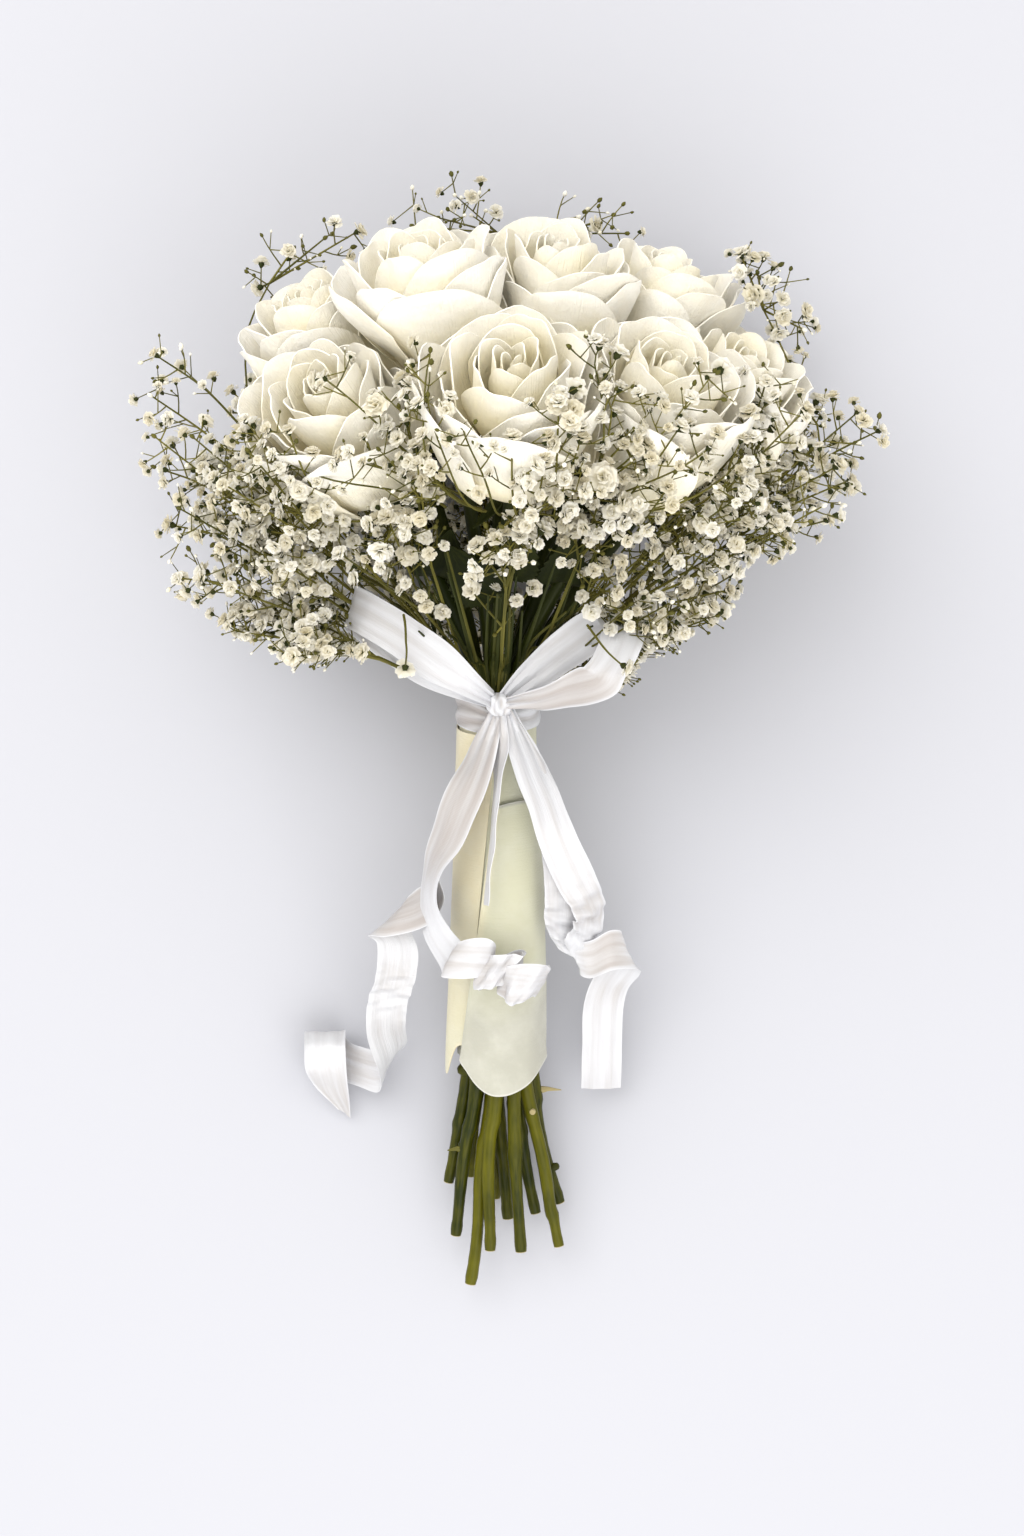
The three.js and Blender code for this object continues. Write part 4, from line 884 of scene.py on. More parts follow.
def stem_body(rose, number):
    draw = draws(300 + number)
    body = Body()
    key, top, phase = rose["key"], stem_top(rose), draw()
    path = stem_path(rose, phase)
    radii = [stem_radius(rose, p.y, phase) for p in path]
    path += [top + rose["faces"] * rise for rise, _ in HIP]
    radii += [radius for _, radius in HIP]
    tone = draw()
    add_tube(body, path, radii, STEM_SIDES, 0, tone)
    add_cut_end(body, path[0], np.array(path[1] - path[0]), radii[0])
    add_sepals(body, rose, top, draw)
    if key in THORNS:
        add_thorn(body, rose, top)
    if key in KNOBS:
        add_knob(body, rose, tone)
    if key == SCARRED:
        add_scar(body, rose)
    for share, way, length in LEAVES.get(key, ()):
        root = stem_above(rose, mix(BUNDLE_TOP, top.y, share))
        width = length * LEAF_WIDTH
        add_leaf(body, 1, LEAF_BLADE, root, way, LEAF_FACES, length, width, *LEAF_SHAPE)
    return body


for number, rose in enumerate(ROSES):
    name = "stem_" + rose["key"]
    make(name + "_green", name, stem_body(rose, number), [STEM, LEAF, TWIG], on_surface)

# Baby's breath: how far the collar reaches at each angle from the bunch's axis, in degrees
REACH_RIGHT = ((34, 0.178), (44, 0.182), (54, 0.174), (60, 0.141), (64, 0.1), (70, 0.074), (80, 0.054))
REACH_LEFT = (
    (34, 0.166), (44, 0.168), (50, 0.168), (56, 0.152), (62, 0.139), (69, 0.123), (78, 0.088), (84, 0.066)
)
REACH_FRONT = ((30, 0.158), (38, 0.142), (46, 0.12), (54, 0.102), (62, 0.08), (70, 0.064))
REACH_BACK = ((30, 0.11), (40, 0.104), (50, 0.104), (60, 0.092), (70, 0.074), (80, 0.06))


def collar_reach(azimuth, polar):
    across = math.cos(azimuth)
    side = abs(across) ** 1.5
    side_reach = between(REACH_RIGHT if across > 0 else REACH_LEFT, math.degrees(polar))
    other_reach = between(REACH_FRONT if math.sin(azimuth) > 0 else REACH_BACK, math.degrees(polar))
    return side * side_reach + (1 - side) * other_reach


def polar_point(azimuth, polar, distance):
    out = distance * math.sin(polar)
    return Vector((out * math.cos(azimuth), distance * math.cos(polar), out * math.sin(azimuth)))


# Each spray keeps inside a wedge of the collar, above or below the plane between the two tiers
WEDGES = 12
FRONT_WEDGES = (2, 3, 4)
FRONT_RANGE = (34, 66)
FRONT_TIPS = 12
UPPER_RANGE = (35, 57)
OTHER_RANGES = {0: (46, 57), 6: (45, 57), 11: (50, 57)}
UPPER_TIPS = 10
LOWER_RANGE = (60, 80)
LOWER_TIPS = 7
TIER_ANGLE = math.radians(58)
BEAD_RADIUS = 0.0056
SPRAY_STEM_RADIUS = 0.0006
LOWEST_BEAD = 0.007

# Limbs that reach over the top of the bunch, by wedge: past its sides, and under its lowest blooms.
# Shoots and buds are what each tip carries, and stop is a share of the limb that carries shoots too
Crown = namedtuple("Crown", "route tips shoots buds stop")
CROWNS = {
    0: Crown(
        [(0.114, 0.088, -0.018), (0.113, 0.108, -0.032), (0.104, 0.13, -0.034), (0.098, 0.142, -0.032)],
        [(0.095, 0.157, -0.024), (0.112, 0.137, -0.018), (0.104, 0.148, -0.02), (0.089, 0.163, -0.03)],
        4, 0.35, 0.8,
    ),
    6: Crown(
        [(-0.084, 0.09, -0.008), (-0.092, 0.112, -0.023), (-0.092, 0.135, -0.027), (-0.084, 0.152, -0.032)],
        [(-0.075, 0.165, -0.03), (-0.088, 0.15, -0.034), (-0.063, 0.17, -0.022), (-0.051, 0.172, -0.026)],
        3, 0.6, None,
    ),
    9: Crown(
        [(-0.0025, 0.062, -0.064), (-0.0035, 0.1, -0.086), (-0.0035, 0.14, -0.097), (0, 0.162, -0.094)],
        [
            (-0.016, 0.181, -0.058), (-0.032, 0.17, -0.056), (-0.022, 0.174, -0.048), (-0.01, 0.172, -0.07),
            (0.03, 0.172, -0.066), (0.036, 0.17, -0.06), (0.048, 0.167, -0.057),
        ],
        3, 0.75, None,
    ),
}
CROWN_STEP = 0.008
CROWN_ROOM = 0.0015
BLOOM_ROOM_SHARE = 1.06
SEPAL_DROP = 0.005
SEPAL_ROOM = 0.013
# Balls round the bow's loops that sprays keep out of
BOW_PLACES = (
    (-0.02, 0.016, 0.024), (-0.036, 0.033, 0.028), (-0.051, 0.038, 0.026), (0.016, 0.025, 0.0305),
    (0.02, 0.015, 0.025), (0.037, 0.025, 0.029), (0.044, 0.021, 0.034),
)
BOW_ROOM = 0.0115


def obstacles():
    """What a spray keeps clear of: the long limbs, blooms, the sepals under them and the bow's loops."""
    found = []
    for crown in CROWNS.values():
        route = [Vector(at) for at in crown.route]
        for start, end in zip(route, route[1:]):
            steps = math.ceil((end - start).length / CROWN_STEP)
            found += [(start.lerp(end, i / steps), CROWN_ROOM) for i in range(steps)]
    found += [(rose["middle"], rose["radius"] * BLOOM_ROOM_SHARE) for rose in ROSES]
    found += [(rose["base"] - rose["faces"] * SEPAL_DROP, SEPAL_ROOM) for rose in ROSES]
    found += [(Vector(at), BOW_ROOM) for at in BOW_PLACES]
    return found


OBSTACLES = obstacles()
PASSES = 12
EDGE = 0.0002


def cell_walls(azimuth, tier):
    half = math.pi / WEDGES
    sides = (azimuth - half + math.pi / 2, azimuth + half - math.pi / 2)
    walls = [Vector((math.cos(turn), 0, math.sin(turn))) for turn in sides]
    out = -math.cos(TIER_ANGLE)
    split = Vector((out * math.cos(azimuth), math.sin(TIER_ANGLE), out * math.sin(azimuth)))
    if tier == "upper":
        walls.append(split)
    if tier == "lower":
        walls.append(-split)
    return walls


def settled(p, walls, clearance):
    """A point moved off the obstacles and the stems, into its cell and off the surface."""
    moved = p.copy()
    for _ in range(PASSES):
        for centre, radius in OBSTACLES:
            away = moved - centre
            distance = away.length
            if distance < radius + clearance:
                moved += away * ((radius + clearance + EDGE) / distance - 1)
        for rose in ROSES:
            if not BUNDLE_TOP <= moved.y <= stem_top(rose).y:
                continue
            away = (moved - stem_above(rose, moved.y)).length
            least = (STEM_RADIUS + clearance) * 1.15
            if away < least:
                moved += Vector((moved.x, 0, moved.z)).normalized() * (least + EDGE - away)
        for wall in walls:
            inside = moved.dot(wall)
            if inside < clearance + GAP:
                moved += wall * (clearance + GAP - inside)
        lift = LOWEST_BEAD + clearance - BEAD_RADIUS - height(moved)
        if lift > 0:
            shorter = 1 - lift / (math.cos(TILT) * max(0.001, -moved.z))
            moved.x *= shorter
            moved.z *= shorter
    return moved


BEND_PLACES = (0.35, 0.68)
BEND_CLEARANCE = SPRAY_STEM_RADIUS + 0.0004
LIMBS = 3
FORK_SHARE = 0.4
HUB_SHARE = 0.68
# A spray's tips are spread evenly over its wedge, and up to a share of their reach inwards
TURN_STEP = 0.7548776662
DEPTH_STEP = 0.618034
TIP_SPREAD = 0.8
TIP_DEPTH = 0.34


def twig_path(start, end, walls):
    bends = []
    for share in BEND_PLACES:
        straight = start.lerp(end, share)
        bend = settled(straight, walls, BEND_CLEARANCE)
        if (bend - straight).length > 0.0001:
            bends.append(bend)
    return [start, *bends, end]


def spray_tips(azimuth, span, walls, tips):
    half = math.pi / WEDGES
    found = []
    for i in range(tips):
        turn_share = (0.5 + TURN_STEP * (i + 1)) % 1
        depth_share = (DEPTH_STEP * (i + 1)) % 1
        turn = azimuth + half * (2 * turn_share - 1) * TIP_SPREAD
        polar = math.radians(span[0] + (span[1] - span[0]) * (i + 0.5) / tips)
        distance = collar_reach(turn, polar) * (1 - TIP_DEPTH * depth_share)
        found.append(settled(polar_point(turn, polar, distance), walls, BEAD_RADIUS))
    return found


def spray_root(azimuth):
    flat = Vector((math.cos(azimuth), 0, math.sin(azimuth)))
    foot = flat * SPRAY_RING * BUNDLE_SPREAD + Vector((0, BUNDLE_FOOT + 0.002, 0))
    return [foot, flat * SPRAY_RING, flat * (SPRAY_RING + 0.0004) + Vector((0, BUNDLE_TOP + 0.001, 0))]


def spray_paths(azimuth, stem_azimuth, span, tier, tips, crown=None):
    """A spray's branches: the stalk first, then its limbs, then its twigs to their tips."""
    walls = cell_walls(azimuth, tier)
    ends = spray_tips(azimuth, span, walls, tips)

    def middle(group, share):
        return settled(sum(group, Vector()) * (share / len(group)), walls, BEND_CLEARANCE)

    fork = middle(ends, FORK_SHARE)
    root = spray_root(stem_azimuth)
    stalk = [*root, root[-1].lerp(fork, 0.35) + Vector((0, 0.0025, 0)), fork]
    limbs, twigs = [], []
    for k in range(LIMBS):
        group = ends[round(k * tips / LIMBS + 1e-9) : round((k + 1) * tips / LIMBS + 1e-9)]
        hub = middle(group, HUB_SHARE)
        limbs.append(twig_path(fork, hub, walls))
        twigs += [twig_path(hub, end, walls) for end in group]
    if crown:
        route = [Vector(at) for at in crown.route]
        limbs.append([fork, *route])
        twigs += [twig_path(route[-1], Vector(end), []) for end in crown.tips]
    return stalk, limbs, twigs


# Florets: ruffled white pompons on side shoots near each tip, and green-white buds between them
SHOOTS = 8
SHOOT_ZONE = 0.05
SHOOT_TURN = 2.4
SHOOT_AXIS = (0.31, 0.2, 0.93)
SHOOT_LENGTH = 0.008
LOOK_AHEAD = 0.002
SHOOT_RADII = (0.00034, 0.00022)
STRAY_RADII = (0.00026, 0.00018)
FORK_RADII = (0.00028, 0.0002)
FORKED = 0.75
SMALL_BUD = 0.0011
BUD = 0.0018
END_BUD = 0.0024
FLORET_RADIUS = 0.0027
GREEN_BUD_SHARE = 0.55
PETAL_RINGS = ((8, 8, 1.0), (7, 34, 0.97), (5, 58, 0.9), (3, 80, 0.8))
# A floret's crumpled petals and its calyx, as shares of its radius
RISE_STRAY = 16
CRUMB_WIDTH = 0.4
CRUMB_FOOT = 0.1
CRUMB_SHOULDER = 0.8
CRUMB_FACES = ((0, 1, 3), (0, 3, 2), (0, 2, 1), (1, 2, 3))
CALYX = ((-0.55, -0.2, 0.12), (0.12, 0.36, 0.3))
CALYX_NOTE = 0.3
SPIN_AXIS = (0.3, 0.9, 0.2)
PROTOTYPES = 6
BUD_SHARE = 0.24
LARGE_SHARE = 0.07
LARGE = 1.45
CLEAR_PASSES = 3
BLOOM_ROOM = 0.003
FLOOR_ROOM = 0.0035


def upright_tube(heights, radii):
    return tube([(0, 0, at) for at in heights], radii, 5)


def floret(seed):
    """A pompon of crumpled petals round its calyx: points, faces, the share from the middle, slots."""
    draw = draws(seed)
    points, faces, notes, slots = [], [], [], []
    for petals, angle, size in PETAL_RINGS:
        for k in range(petals):
            turn = 2 * math.pi * (k + 0.6 * draw()) / petals + angle
            rise = math.radians(angle + RISE_STRAY * (draw() - 0.5))
            out = np.array((math.cos(turn) * math.cos(rise), math.sin(turn) * math.cos(rise), math.sin(rise)))
            over = np.array((-math.sin(turn), math.cos(turn), 0.0))
            up = np.cross(out, over)
            long = size * (0.85 + 0.3 * draw())
            wide = over * CRUMB_WIDTH * (0.75 + 0.5 * draw())
            curl = 0.3 * (draw() - 0.3)
            faces += [[len(points) + corner for corner in face] for face in CRUMB_FACES]
            points += [
                out * CRUMB_FOOT,
                out * long * CRUMB_SHOULDER + wide + up * (curl + 0.16 * draw()),
                out * long * CRUMB_SHOULDER - wide + up * (curl - 0.16 * draw()),
                out * long + up * (curl * 1.6 - 0.12) + wide * (draw() - 0.5),
            ]
            notes += [0.0, CRUMB_SHOULDER, CRUMB_SHOULDER, 1.0]
            slots += [1] * len(CRUMB_FACES)
    calyx_points, calyx_faces = upright_tube(*CALYX)
    faces += (calyx_faces + len(points)).tolist()
    slots += [0] * len(calyx_faces)
    notes += [CALYX_NOTE] * len(calyx_points)
    points += calyx_points.tolist()
    order = np.argsort(slots, kind="stable")
    return np.array(points), np.array(faces)[order], np.array(notes), np.array(slots)[order]


FLORETS = [floret(900 + number) for number in range(PROTOTYPES)]
BUD_POINTS, BUD_FACES = upright_tube((-0.4, -0.15, 0.25, 0.6), (0.1, 0.34, 0.36, 0.1))


def turned(points, way, spin):
    """Points whose up is turned to a way and spun about it."""
    way = unit(way)
    side = unit(np.cross(way, SPIN_AXIS))
    first = side * math.cos(spin) + np.cross(way, side) * math.sin(spin)
    return points @ np.array((first, np.cross(way, first), way))


# The collar's lower edge seen from above: places across and along at the binding's height, in
# millimetres
HANG = (
    (-200, 60), (-117, 42), (-95, 27), (-77, 18), (-56, 21), (-43, 18), (-31, 12), (-21, 7), (-20, -300),
    (20, -300), (21, 2), (32, 3), (40, 7), (47, 12), (57, 25), (71, 27), (86, 37), (102, 55), (122, 64),
    (132, 82), (200, 90),
)
HANG_LIFT = 0.88


def lifted(points):
    """Places of sprays, raised where they would hang below the collar's lower edge."""
    x, y, z = np.atleast_2d(points).T
    along_y = y * math.cos(TILT) - z * math.sin(TILT)
    up = y * math.sin(TILT) + z * math.cos(TILT)
    nearer = (CAMERA_HEIGHT - BINDING[2]) / (CAMERA_HEIGHT - BINDING[2] - up)
    seen_x = (x - CAMERA_FROM_BINDING[0]) * nearer + CAMERA_FROM_BINDING[0]
    seen_y = (along_y - CAMERA_FROM_BINDING[1]) * nearer + CAMERA_FROM_BINDING[1]
    limit = np.interp(seen_x, *(np.array(HANG).T * MM))
    rise = HANG_LIFT * np.maximum(0, limit - seen_y)
    raised = np.column_stack((x, y + rise * math.cos(TILT), z - rise * math.sin(TILT)))
    return raised.reshape(np.shape(points))


def pushed_out(p, centre, least):
    """A point moved straight away from a centre up to the least distance."""
    away = p - centre
    return centre + away.normalized() * least if away.length < least else p


def kept_clear(p):
    """A floret's place moved off the blooms, the bow and the surface."""
    p = Vector(p)
    for _ in range(CLEAR_PASSES):
        for rose in ROSES:
            p = pushed_out(p, rose["middle"], rose["radius"] + BLOOM_ROOM)
        for centre in BOW_PLACES:
            p = pushed_out(p, Vector(centre), BOW_ROOM)
        low = FLOOR_ROOM - height(p)
        if low > 0:
            p = p - DOWN * low
    return lifted(np.array(p))


# Before the stems above the knot the sprays carry few florets, and none stands before the bow
OPEN_SPAN = (-0.026, 0.036)
OPEN_TOP = 0.05
OPEN_FADE = 0.03
BOW_COVER = 1.25

# The loops' middle lines, half their width and the height under them, in millimetres of the level
# frame
BOW_LINES = (((-3, 2), (-56, 36)), ((3, 2), (46, 25)))
BOW_HALF = 10
BOW_UNDER = 80
BOW_SLOPE = 2
BOW_BARE = 0.78
MOST_LOWERED = 26


def from_loops(points):
    """Places from above, their heights, and for each loop the shares along it and distances off it."""
    x, y, z = np.asarray(points, float).T / MM
    along_y = y * math.cos(TILT) - z * math.sin(TILT)
    up = y * math.sin(TILT) + z * math.cos(TILT) + BINDING[2] / MM
    flat = np.column_stack((x, along_y))
    loops = []
    for start, end in BOW_LINES:
        start, reach = np.array(start), np.subtract(end, start)
        share = (flat - start) @ reach / (reach @ reach)
        nearest = start + np.clip(share, 0, 1)[:, None] * reach
        loops.append((share, np.linalg.norm(flat - nearest, axis=1)))
    return flat, up, loops


def under_bow(path):
    """A twig's points, lowered where it would pass over the bow's loops."""
    flat, up, loops = from_loops(path)
    for _, off in loops:
        highest = BOW_UNDER + BOW_SLOPE * np.maximum(0, off - BOW_HALF)
        up = np.minimum(up, np.maximum(highest, up - MOST_LOWERED))
    return unlevel(np.column_stack((flat, up)))


def over_loop(p):
    """Whether a place lies over the bare part of one of the bow's loops."""
    _, up, loops = from_loops([p])
    near = [0 < share[0] < BOW_BARE and off[0] < BOW_HALF for share, off in loops]
    return up[0] > BOW_UNDER and any(near)


def before_bow(p):
    for centre in BOW_PLACES:
        away = Vector(p) - Vector(centre)
        before = -away.dot(DOWN)
        if before > 0 and (away + DOWN * before).length < BOW_ROOM * BOW_COVER:
            return True
    return False


def left_open(p, chance):
    """Whether a floret's place stays empty."""
    if p[2] > 0 and OPEN_SPAN[0] < p[0] < OPEN_SPAN[1] and chance * OPEN_FADE > p[1] - OPEN_TOP:
        return True
    return before_bow(p) or over_loop(p)


def add_floret(body, at, way, size, draw):
    points, faces, shade, slots = FLORETS[int(draw() * PROTOTYPES)]
    points = turned(points * size, way, AROUND * draw()) + at
    notes = np.zeros_like(points)
    notes[:, 1] = shade
    notes[:, 2] = draw() ** 1.6
    body.add(points, faces, slots, notes)


def add_bud(body, at, way, size, draw):
    is_green = draw() < GREEN_BUD_SHARE
    shade = 0.05 if is_green else 0.2 + 0.5 * draw()
    points = turned(BUD_POINTS * size, way, AROUND * draw()) + at
    body.add(points, BUD_FACES, 0 if is_green else 1, (0, shade, 0))


def add_twig(body, path, radii, sides, steps, tone, above_bow=False):
    path = smoothed(path, np.linspace(0, 1, steps))
    path = path if above_bow else lifted(under_bow(path))
    add_tube(body, path, np.linspace(*radii, steps), sides, 0, tone)
    return path


def floret_size(draw):
    size = FLORET_RADIUS * (0.75 + 0.5 * draw())
    return size * LARGE if draw() < LARGE_SHARE else size


def centred(draw):
    """A draw between -0.5 and 0.5 for each way."""
    return np.array((draw() - 0.5, draw() - 0.5, draw() - 0.5))


def add_side_twig(body, start, end, radii, draw):
    add_twig(body, [start, end], radii, 3, 2, draw(), True)


def add_head(body, at, way, buds, bud_size, size, draw):
    """A bud or a floret, whose sizes are drawn only when they are needed."""
    if draw() < buds:
        add_bud(body, at, way, bud_size(), draw)
    else:
        add_floret(body, at, way, size(), draw)


def add_tip(body, path, draw, shoots=SHOOTS, reach=SHOOT_ZONE, buds=BUD_SHARE):
    """Side shoots with florets along a twig's last stretch, and its own floret."""
    lengths = np.concatenate(([0], np.cumsum(np.linalg.norm(np.diff(path, axis=0), axis=1))))
    zone = min(reach, lengths[-1] * 0.85)

    def along_twig(place):
        return np.array([np.interp(place, lengths, path[:, axis]) for axis in range(3)])

    for k in range(shoots):
        place = lengths[-1] - zone * (k + 0.8 * draw()) / shoots
        at, beyond = along_twig(place), along_twig(place + LOOK_AHEAD)
        way = unit(beyond - at) if place < lengths[-1] - LOOK_AHEAD else unit(path[-1] - path[-2])
        turn = SHOOT_TURN * k + AROUND * draw() * 0.3
        side = unit(np.cross(way, SHOOT_AXIS))
        out = side * math.cos(turn) + np.cross(way, side) * math.sin(turn)
        over = np.cross(way, out)
        long = SHOOT_LENGTH + 0.007 * draw()
        ahead = min(0.9, (lengths[-1] - place) / 0.012 - 0.2)
        end = kept_clear(at + unit(way * ahead + out) * long)
        if left_open(end, draw()):
            continue
        bend = (at + end) / 2 + out * 0.0008
        add_twig(body, [at, bend, end], SHOOT_RADII, 3, 4, draw(), True)
        heads = [end]
        stray = bend + unit(way * 0.7 + out * 0.4 - 0.8 * over) * long * 0.55
        if not over_loop(stray):
            add_side_twig(body, bend, stray, STRAY_RADII, draw)
            add_bud(body, stray, unit(stray - bend), SMALL_BUD + 0.0005 * draw(), draw)
        fork = kept_clear(bend + unit(way * 0.5 - out * 0.5 + 0.6 * over) * long * 0.7)
        if draw() < FORKED and not over_loop(fork):
            add_side_twig(body, bend, fork, FORK_RADII, draw)
            heads.append(fork)
        for head in heads:
            up = unit(head - at + 0.004 * centred(draw))
            add_head(body, head, up, buds, lambda: BUD + 0.0009 * draw(), lambda: floret_size(draw), draw)
    end, up = kept_clear(path[-1]), unit(path[-1] - path[-2])
    add_head(body, end, up, buds, lambda: END_BUD, lambda: FLORET_RADIUS * (1.1 + 0.4 * draw()), draw)


# Sprigs that stand out past the collar or before the blooms, by wedge: tips in the level frame in
# millimetres, how many shoots each carries, and what share of its heads are buds
SPRIG_HUBS = {
    "side": (0, 22, 84), "front": (8, 52, 128), "left loop": (-35.5, 38, 106),
    "right loop": (24.5, 36.5, 116),
}
SPRIG_FOOT = {"side": 0.74, "front": 0.42, "left loop": 0.36, "right loop": 0.36}
SPRIG_SAG = {"side": -0.004, "front": 0.006, "left loop": 0.006, "right loop": 0.006}
SPRIG_RADII = (0.00048, 0.0003)
SPRIG_STEPS = 14
SPRIG_ZONE = 0.03
SPRIGS = {
    0: [
        ("side", (139, 99.6, 90), 5, 0.4), ("side", (128.5, 81.7, 86), 5, 0.3),
        ("side", (121, 67.5, 80), 5, 0.4),
    ],
    1: [
        ("side", (106.7, 64.3, 84), 5, 0.3), ("side", (83.8, 41.4, 90), 3, 0.5),
        ("side", (78.4, 31, 80), 4, 0.4), ("right loop", (45.5, 12.8, 112), 1, 0.3),
    ],
    2: [
        ("front", (35.5, 122.2, 172), 5, 0.6), ("front", (42.5, 108, 165), 4, 0.4),
        ("front", (70.9, 112.2, 150), 5, 0.6), ("front", (56, 104, 158), 4, 0.3),
        ("front", (52, 92, 155), 6, 0.1), ("front", (66, 94, 145), 6, 0.1),
        ("front", (82, 98, 130), 6, 0.2), ("front", (94, 104, 118), 6, 0.3),
    ],
    3: [
        ("front", (21.6, 104, 186), 5, 0.1), ("front", (5.2, 92, 178), 5, 0.1),
        ("front", (28, 90, 176), 6, 0.1), ("front", (-6, 96, 172), 5, 0.3),
        ("front", (15, 84, 176), 6, 0.1), ("front", (38, 82, 165), 6, 0.1),
    ],
    4: [
        ("front", (-23, 120.7, 168), 4, 0.6), ("front", (-16, 104, 168), 5, 0.4),
        ("front", (-24, 90, 158), 6, 0.1), ("front", (-39.5, 94, 148), 6, 0.2),
        ("front", (-33, 112, 152), 4, 0.4), ("front", (-54, 92, 138), 6, 0.2),
        ("front", (-58, 108, 140), 3, 0.6), ("front", (-70.4, 98, 126), 6, 0.2),
        ("front", (-84, 96, 112), 6, 0.2),
    ],
    5: [
        ("left loop", (-33.4, 12.4, 101), 1, 0.3),
        ("side", (-117.6, 46.5, 74), 6, 0.3), ("side", (-96.5, 34.2, 70), 6, 0.2),
        ("side", (-76.8, 19.6, 66), 5, 0.3),
    ],
    6: [
        ("side", (-124, 126.4, 95), 5, 0.3), ("side", (-126, 112, 92), 6, 0.3),
        ("side", (-125.4, 86.6, 85), 5, 0.4), ("side", (-120, 65.8, 78), 6, 0.3),
    ],
}
# Single large pompons: their places in the level frame in millimetres and their radii
POMPONS = {
    2: [((36.7, 77, 166), 5.8), ((40, 66, 152), 3.8), ((48, 65, 148), 3.2), ((76, 62, 120), 3.8)],
    3: [((9, 80, 174), 3.6), ((20.5, 101, 188), 4.4), ((26, 99, 186), 3.8), ((13, 41, 118), 3.4)],
    4: [((-32, 52, 128), 4.2), ((-23.5, 74, 146), 3.8), ((-20, 33, 100), 3.2), ((-11, 100, 172), 3.4)],
}


def add_sprig(body, kind, tip, shoots, buds, draw):
    hub, end = unlevel([SPRIG_HUBS[kind], tip])
    foot = mix(hub, end, SPRIG_FOOT[kind])
    middle = mix(foot, end, 0.5) + np.array((0, 0, SPRIG_SAG[kind])) + 0.003 * (draw() - 0.5)
    route = smoothed([foot, middle, end], np.linspace(0, 1, 12))
    path = [kept_clear(at) for at in route]
    path = add_twig(body, path, SPRIG_RADII, 4, SPRIG_STEPS, draw(), True)
    add_tip(body, path, draw, shoots, SPRIG_ZONE, buds)


# Thin stems that run up beside each spray's stalk and fill the fan above the knot, painted dark green as
# shade
FAN_STEMS = 14
FAN_SCATTER = 0.014
FAN_STEPS = 13
FAN_RADII = (0.001, 0.0004)
FAN_SHADE = 0.205


def add_fan(body, stalk, hubs, draw):
    root, fork = np.array(stalk[2]), np.array(stalk[-1])
    for k in range(FAN_STEMS):
        hub = np.array(hubs[k % len(hubs)])
        stray = 2 * FAN_SCATTER * centred(draw)
        start = root + 0.25 * stray * (1, 0, 1)
        middle = mix(root, fork, 0.6 + 0.3 * draw()) + stray * (0.5, 0, 0.5)
        route = smoothed([start, middle, hub + stray * 0.6], np.linspace(0, 1, FAN_STEPS))
        points, faces = tube(under_bow(route), np.linspace(*FAN_RADII, FAN_STEPS), 5)
        body.add(points, faces, 0, (0, FAN_SHADE + 0.07 * draw(), draw()))


CROWN_ZONE = 0.02
# Radii at both ends of the stalk, its limbs and its twigs, and the steps along them
STALK_RADII = (0.0007, 0.0006)
LIMB_RADII = (0.0006, 0.0005)
CROWN_RADII = (0.0005, 0.00035)
TWIG_RADII = (0.00045, 0.0003)
LIMB_STEPS = 14
TWIG_STEPS = 8


def spray_body(paths, seed, wedge=None):
    draw = draws(seed)
    body = Body()
    stalk, limbs, twigs = paths
    crown = CROWNS.get(wedge)
    add_twig(body, stalk, STALK_RADII, 6, LIMB_STEPS, draw())
    if wedge in FRONT_WEDGES:
        add_fan(body, stalk, [limb[-1] for limb in limbs[:LIMBS]], draw)
    for number, limb in enumerate(limbs):
        is_crown = number >= LIMBS
        path = add_twig(body, limb, CROWN_RADII if is_crown else LIMB_RADII, 5, LIMB_STEPS, draw())
        if is_crown and crown.stop:
            add_tip(body, path[: round(crown.stop * len(path))], draw)
    for number, twig in enumerate(twigs):
        if before_bow(twig[-1]) or over_loop(twig[-1]):
            continue
        path = add_twig(body, twig, TWIG_RADII, 4, TWIG_STEPS, draw())
        if crown and number >= len(twigs) - len(crown.tips):
            add_tip(body, path, draw, crown.shoots, CROWN_ZONE, crown.buds)
        else:
            add_tip(body, path, draw)
    for sprig in SPRIGS.get(wedge, ()):
        add_sprig(body, *sprig, draw)
    for place, radius in POMPONS.get(wedge, ()):
        at = kept_clear(unlevel([place])[0])
        add_floret(body, at, -np.array(DOWN), radius * MM, draw)
    return body


def spray_piece(name, paths, seed, wedge=None):
    body = spray_body(paths, seed, wedge)
    make(name + "_flowers", name, body, [TWIG, FLORET], on_surface, SPRAY_SHARP)


for wedge in range(WEDGES):
    azimuth = 2 * math.pi * wedge / WEDGES
    quarter = math.pi / WEDGES / 2
    if wedge in FRONT_WEDGES:
        upper = spray_paths(azimuth, azimuth, FRONT_RANGE, "whole", FRONT_TIPS)
    else:
        span = OTHER_RANGES.get(wedge, UPPER_RANGE)
        upper = spray_paths(azimuth, azimuth - quarter, span, "upper", UPPER_TIPS, CROWNS.get(wedge))
        lower = spray_paths(azimuth, azimuth + quarter, LOWER_RANGE, "lower", LOWER_TIPS)
        spray_piece(f"spray_lower_{wedge + 1}", lower, 700 + wedge)
    spray_piece(f"spray_upper_{wedge + 1}", upper, 500 + wedge, wedge)

# The wrap: a sleeve round the bundle, a flap on its left and a panel over its front
CLOTH = 0.00035
SLEEVE_INSIDE = ((-0.136, 0.0151), (BUNDLE_FOOT, 0.0151), (-0.07, 0.0144), (BUNDLE_TOP, 0.01375))
FLAP_RADIUS = ((-0.146, 0.0167), (BUNDLE_FOOT, 0.0167), (-0.07, 0.01585), (-0.008, 0.01525))
FLAP_FLARE = ((-0.138, 0.0033), (-0.11, 0.0023), (-0.07, 0.0012), (-0.008, 0.0))
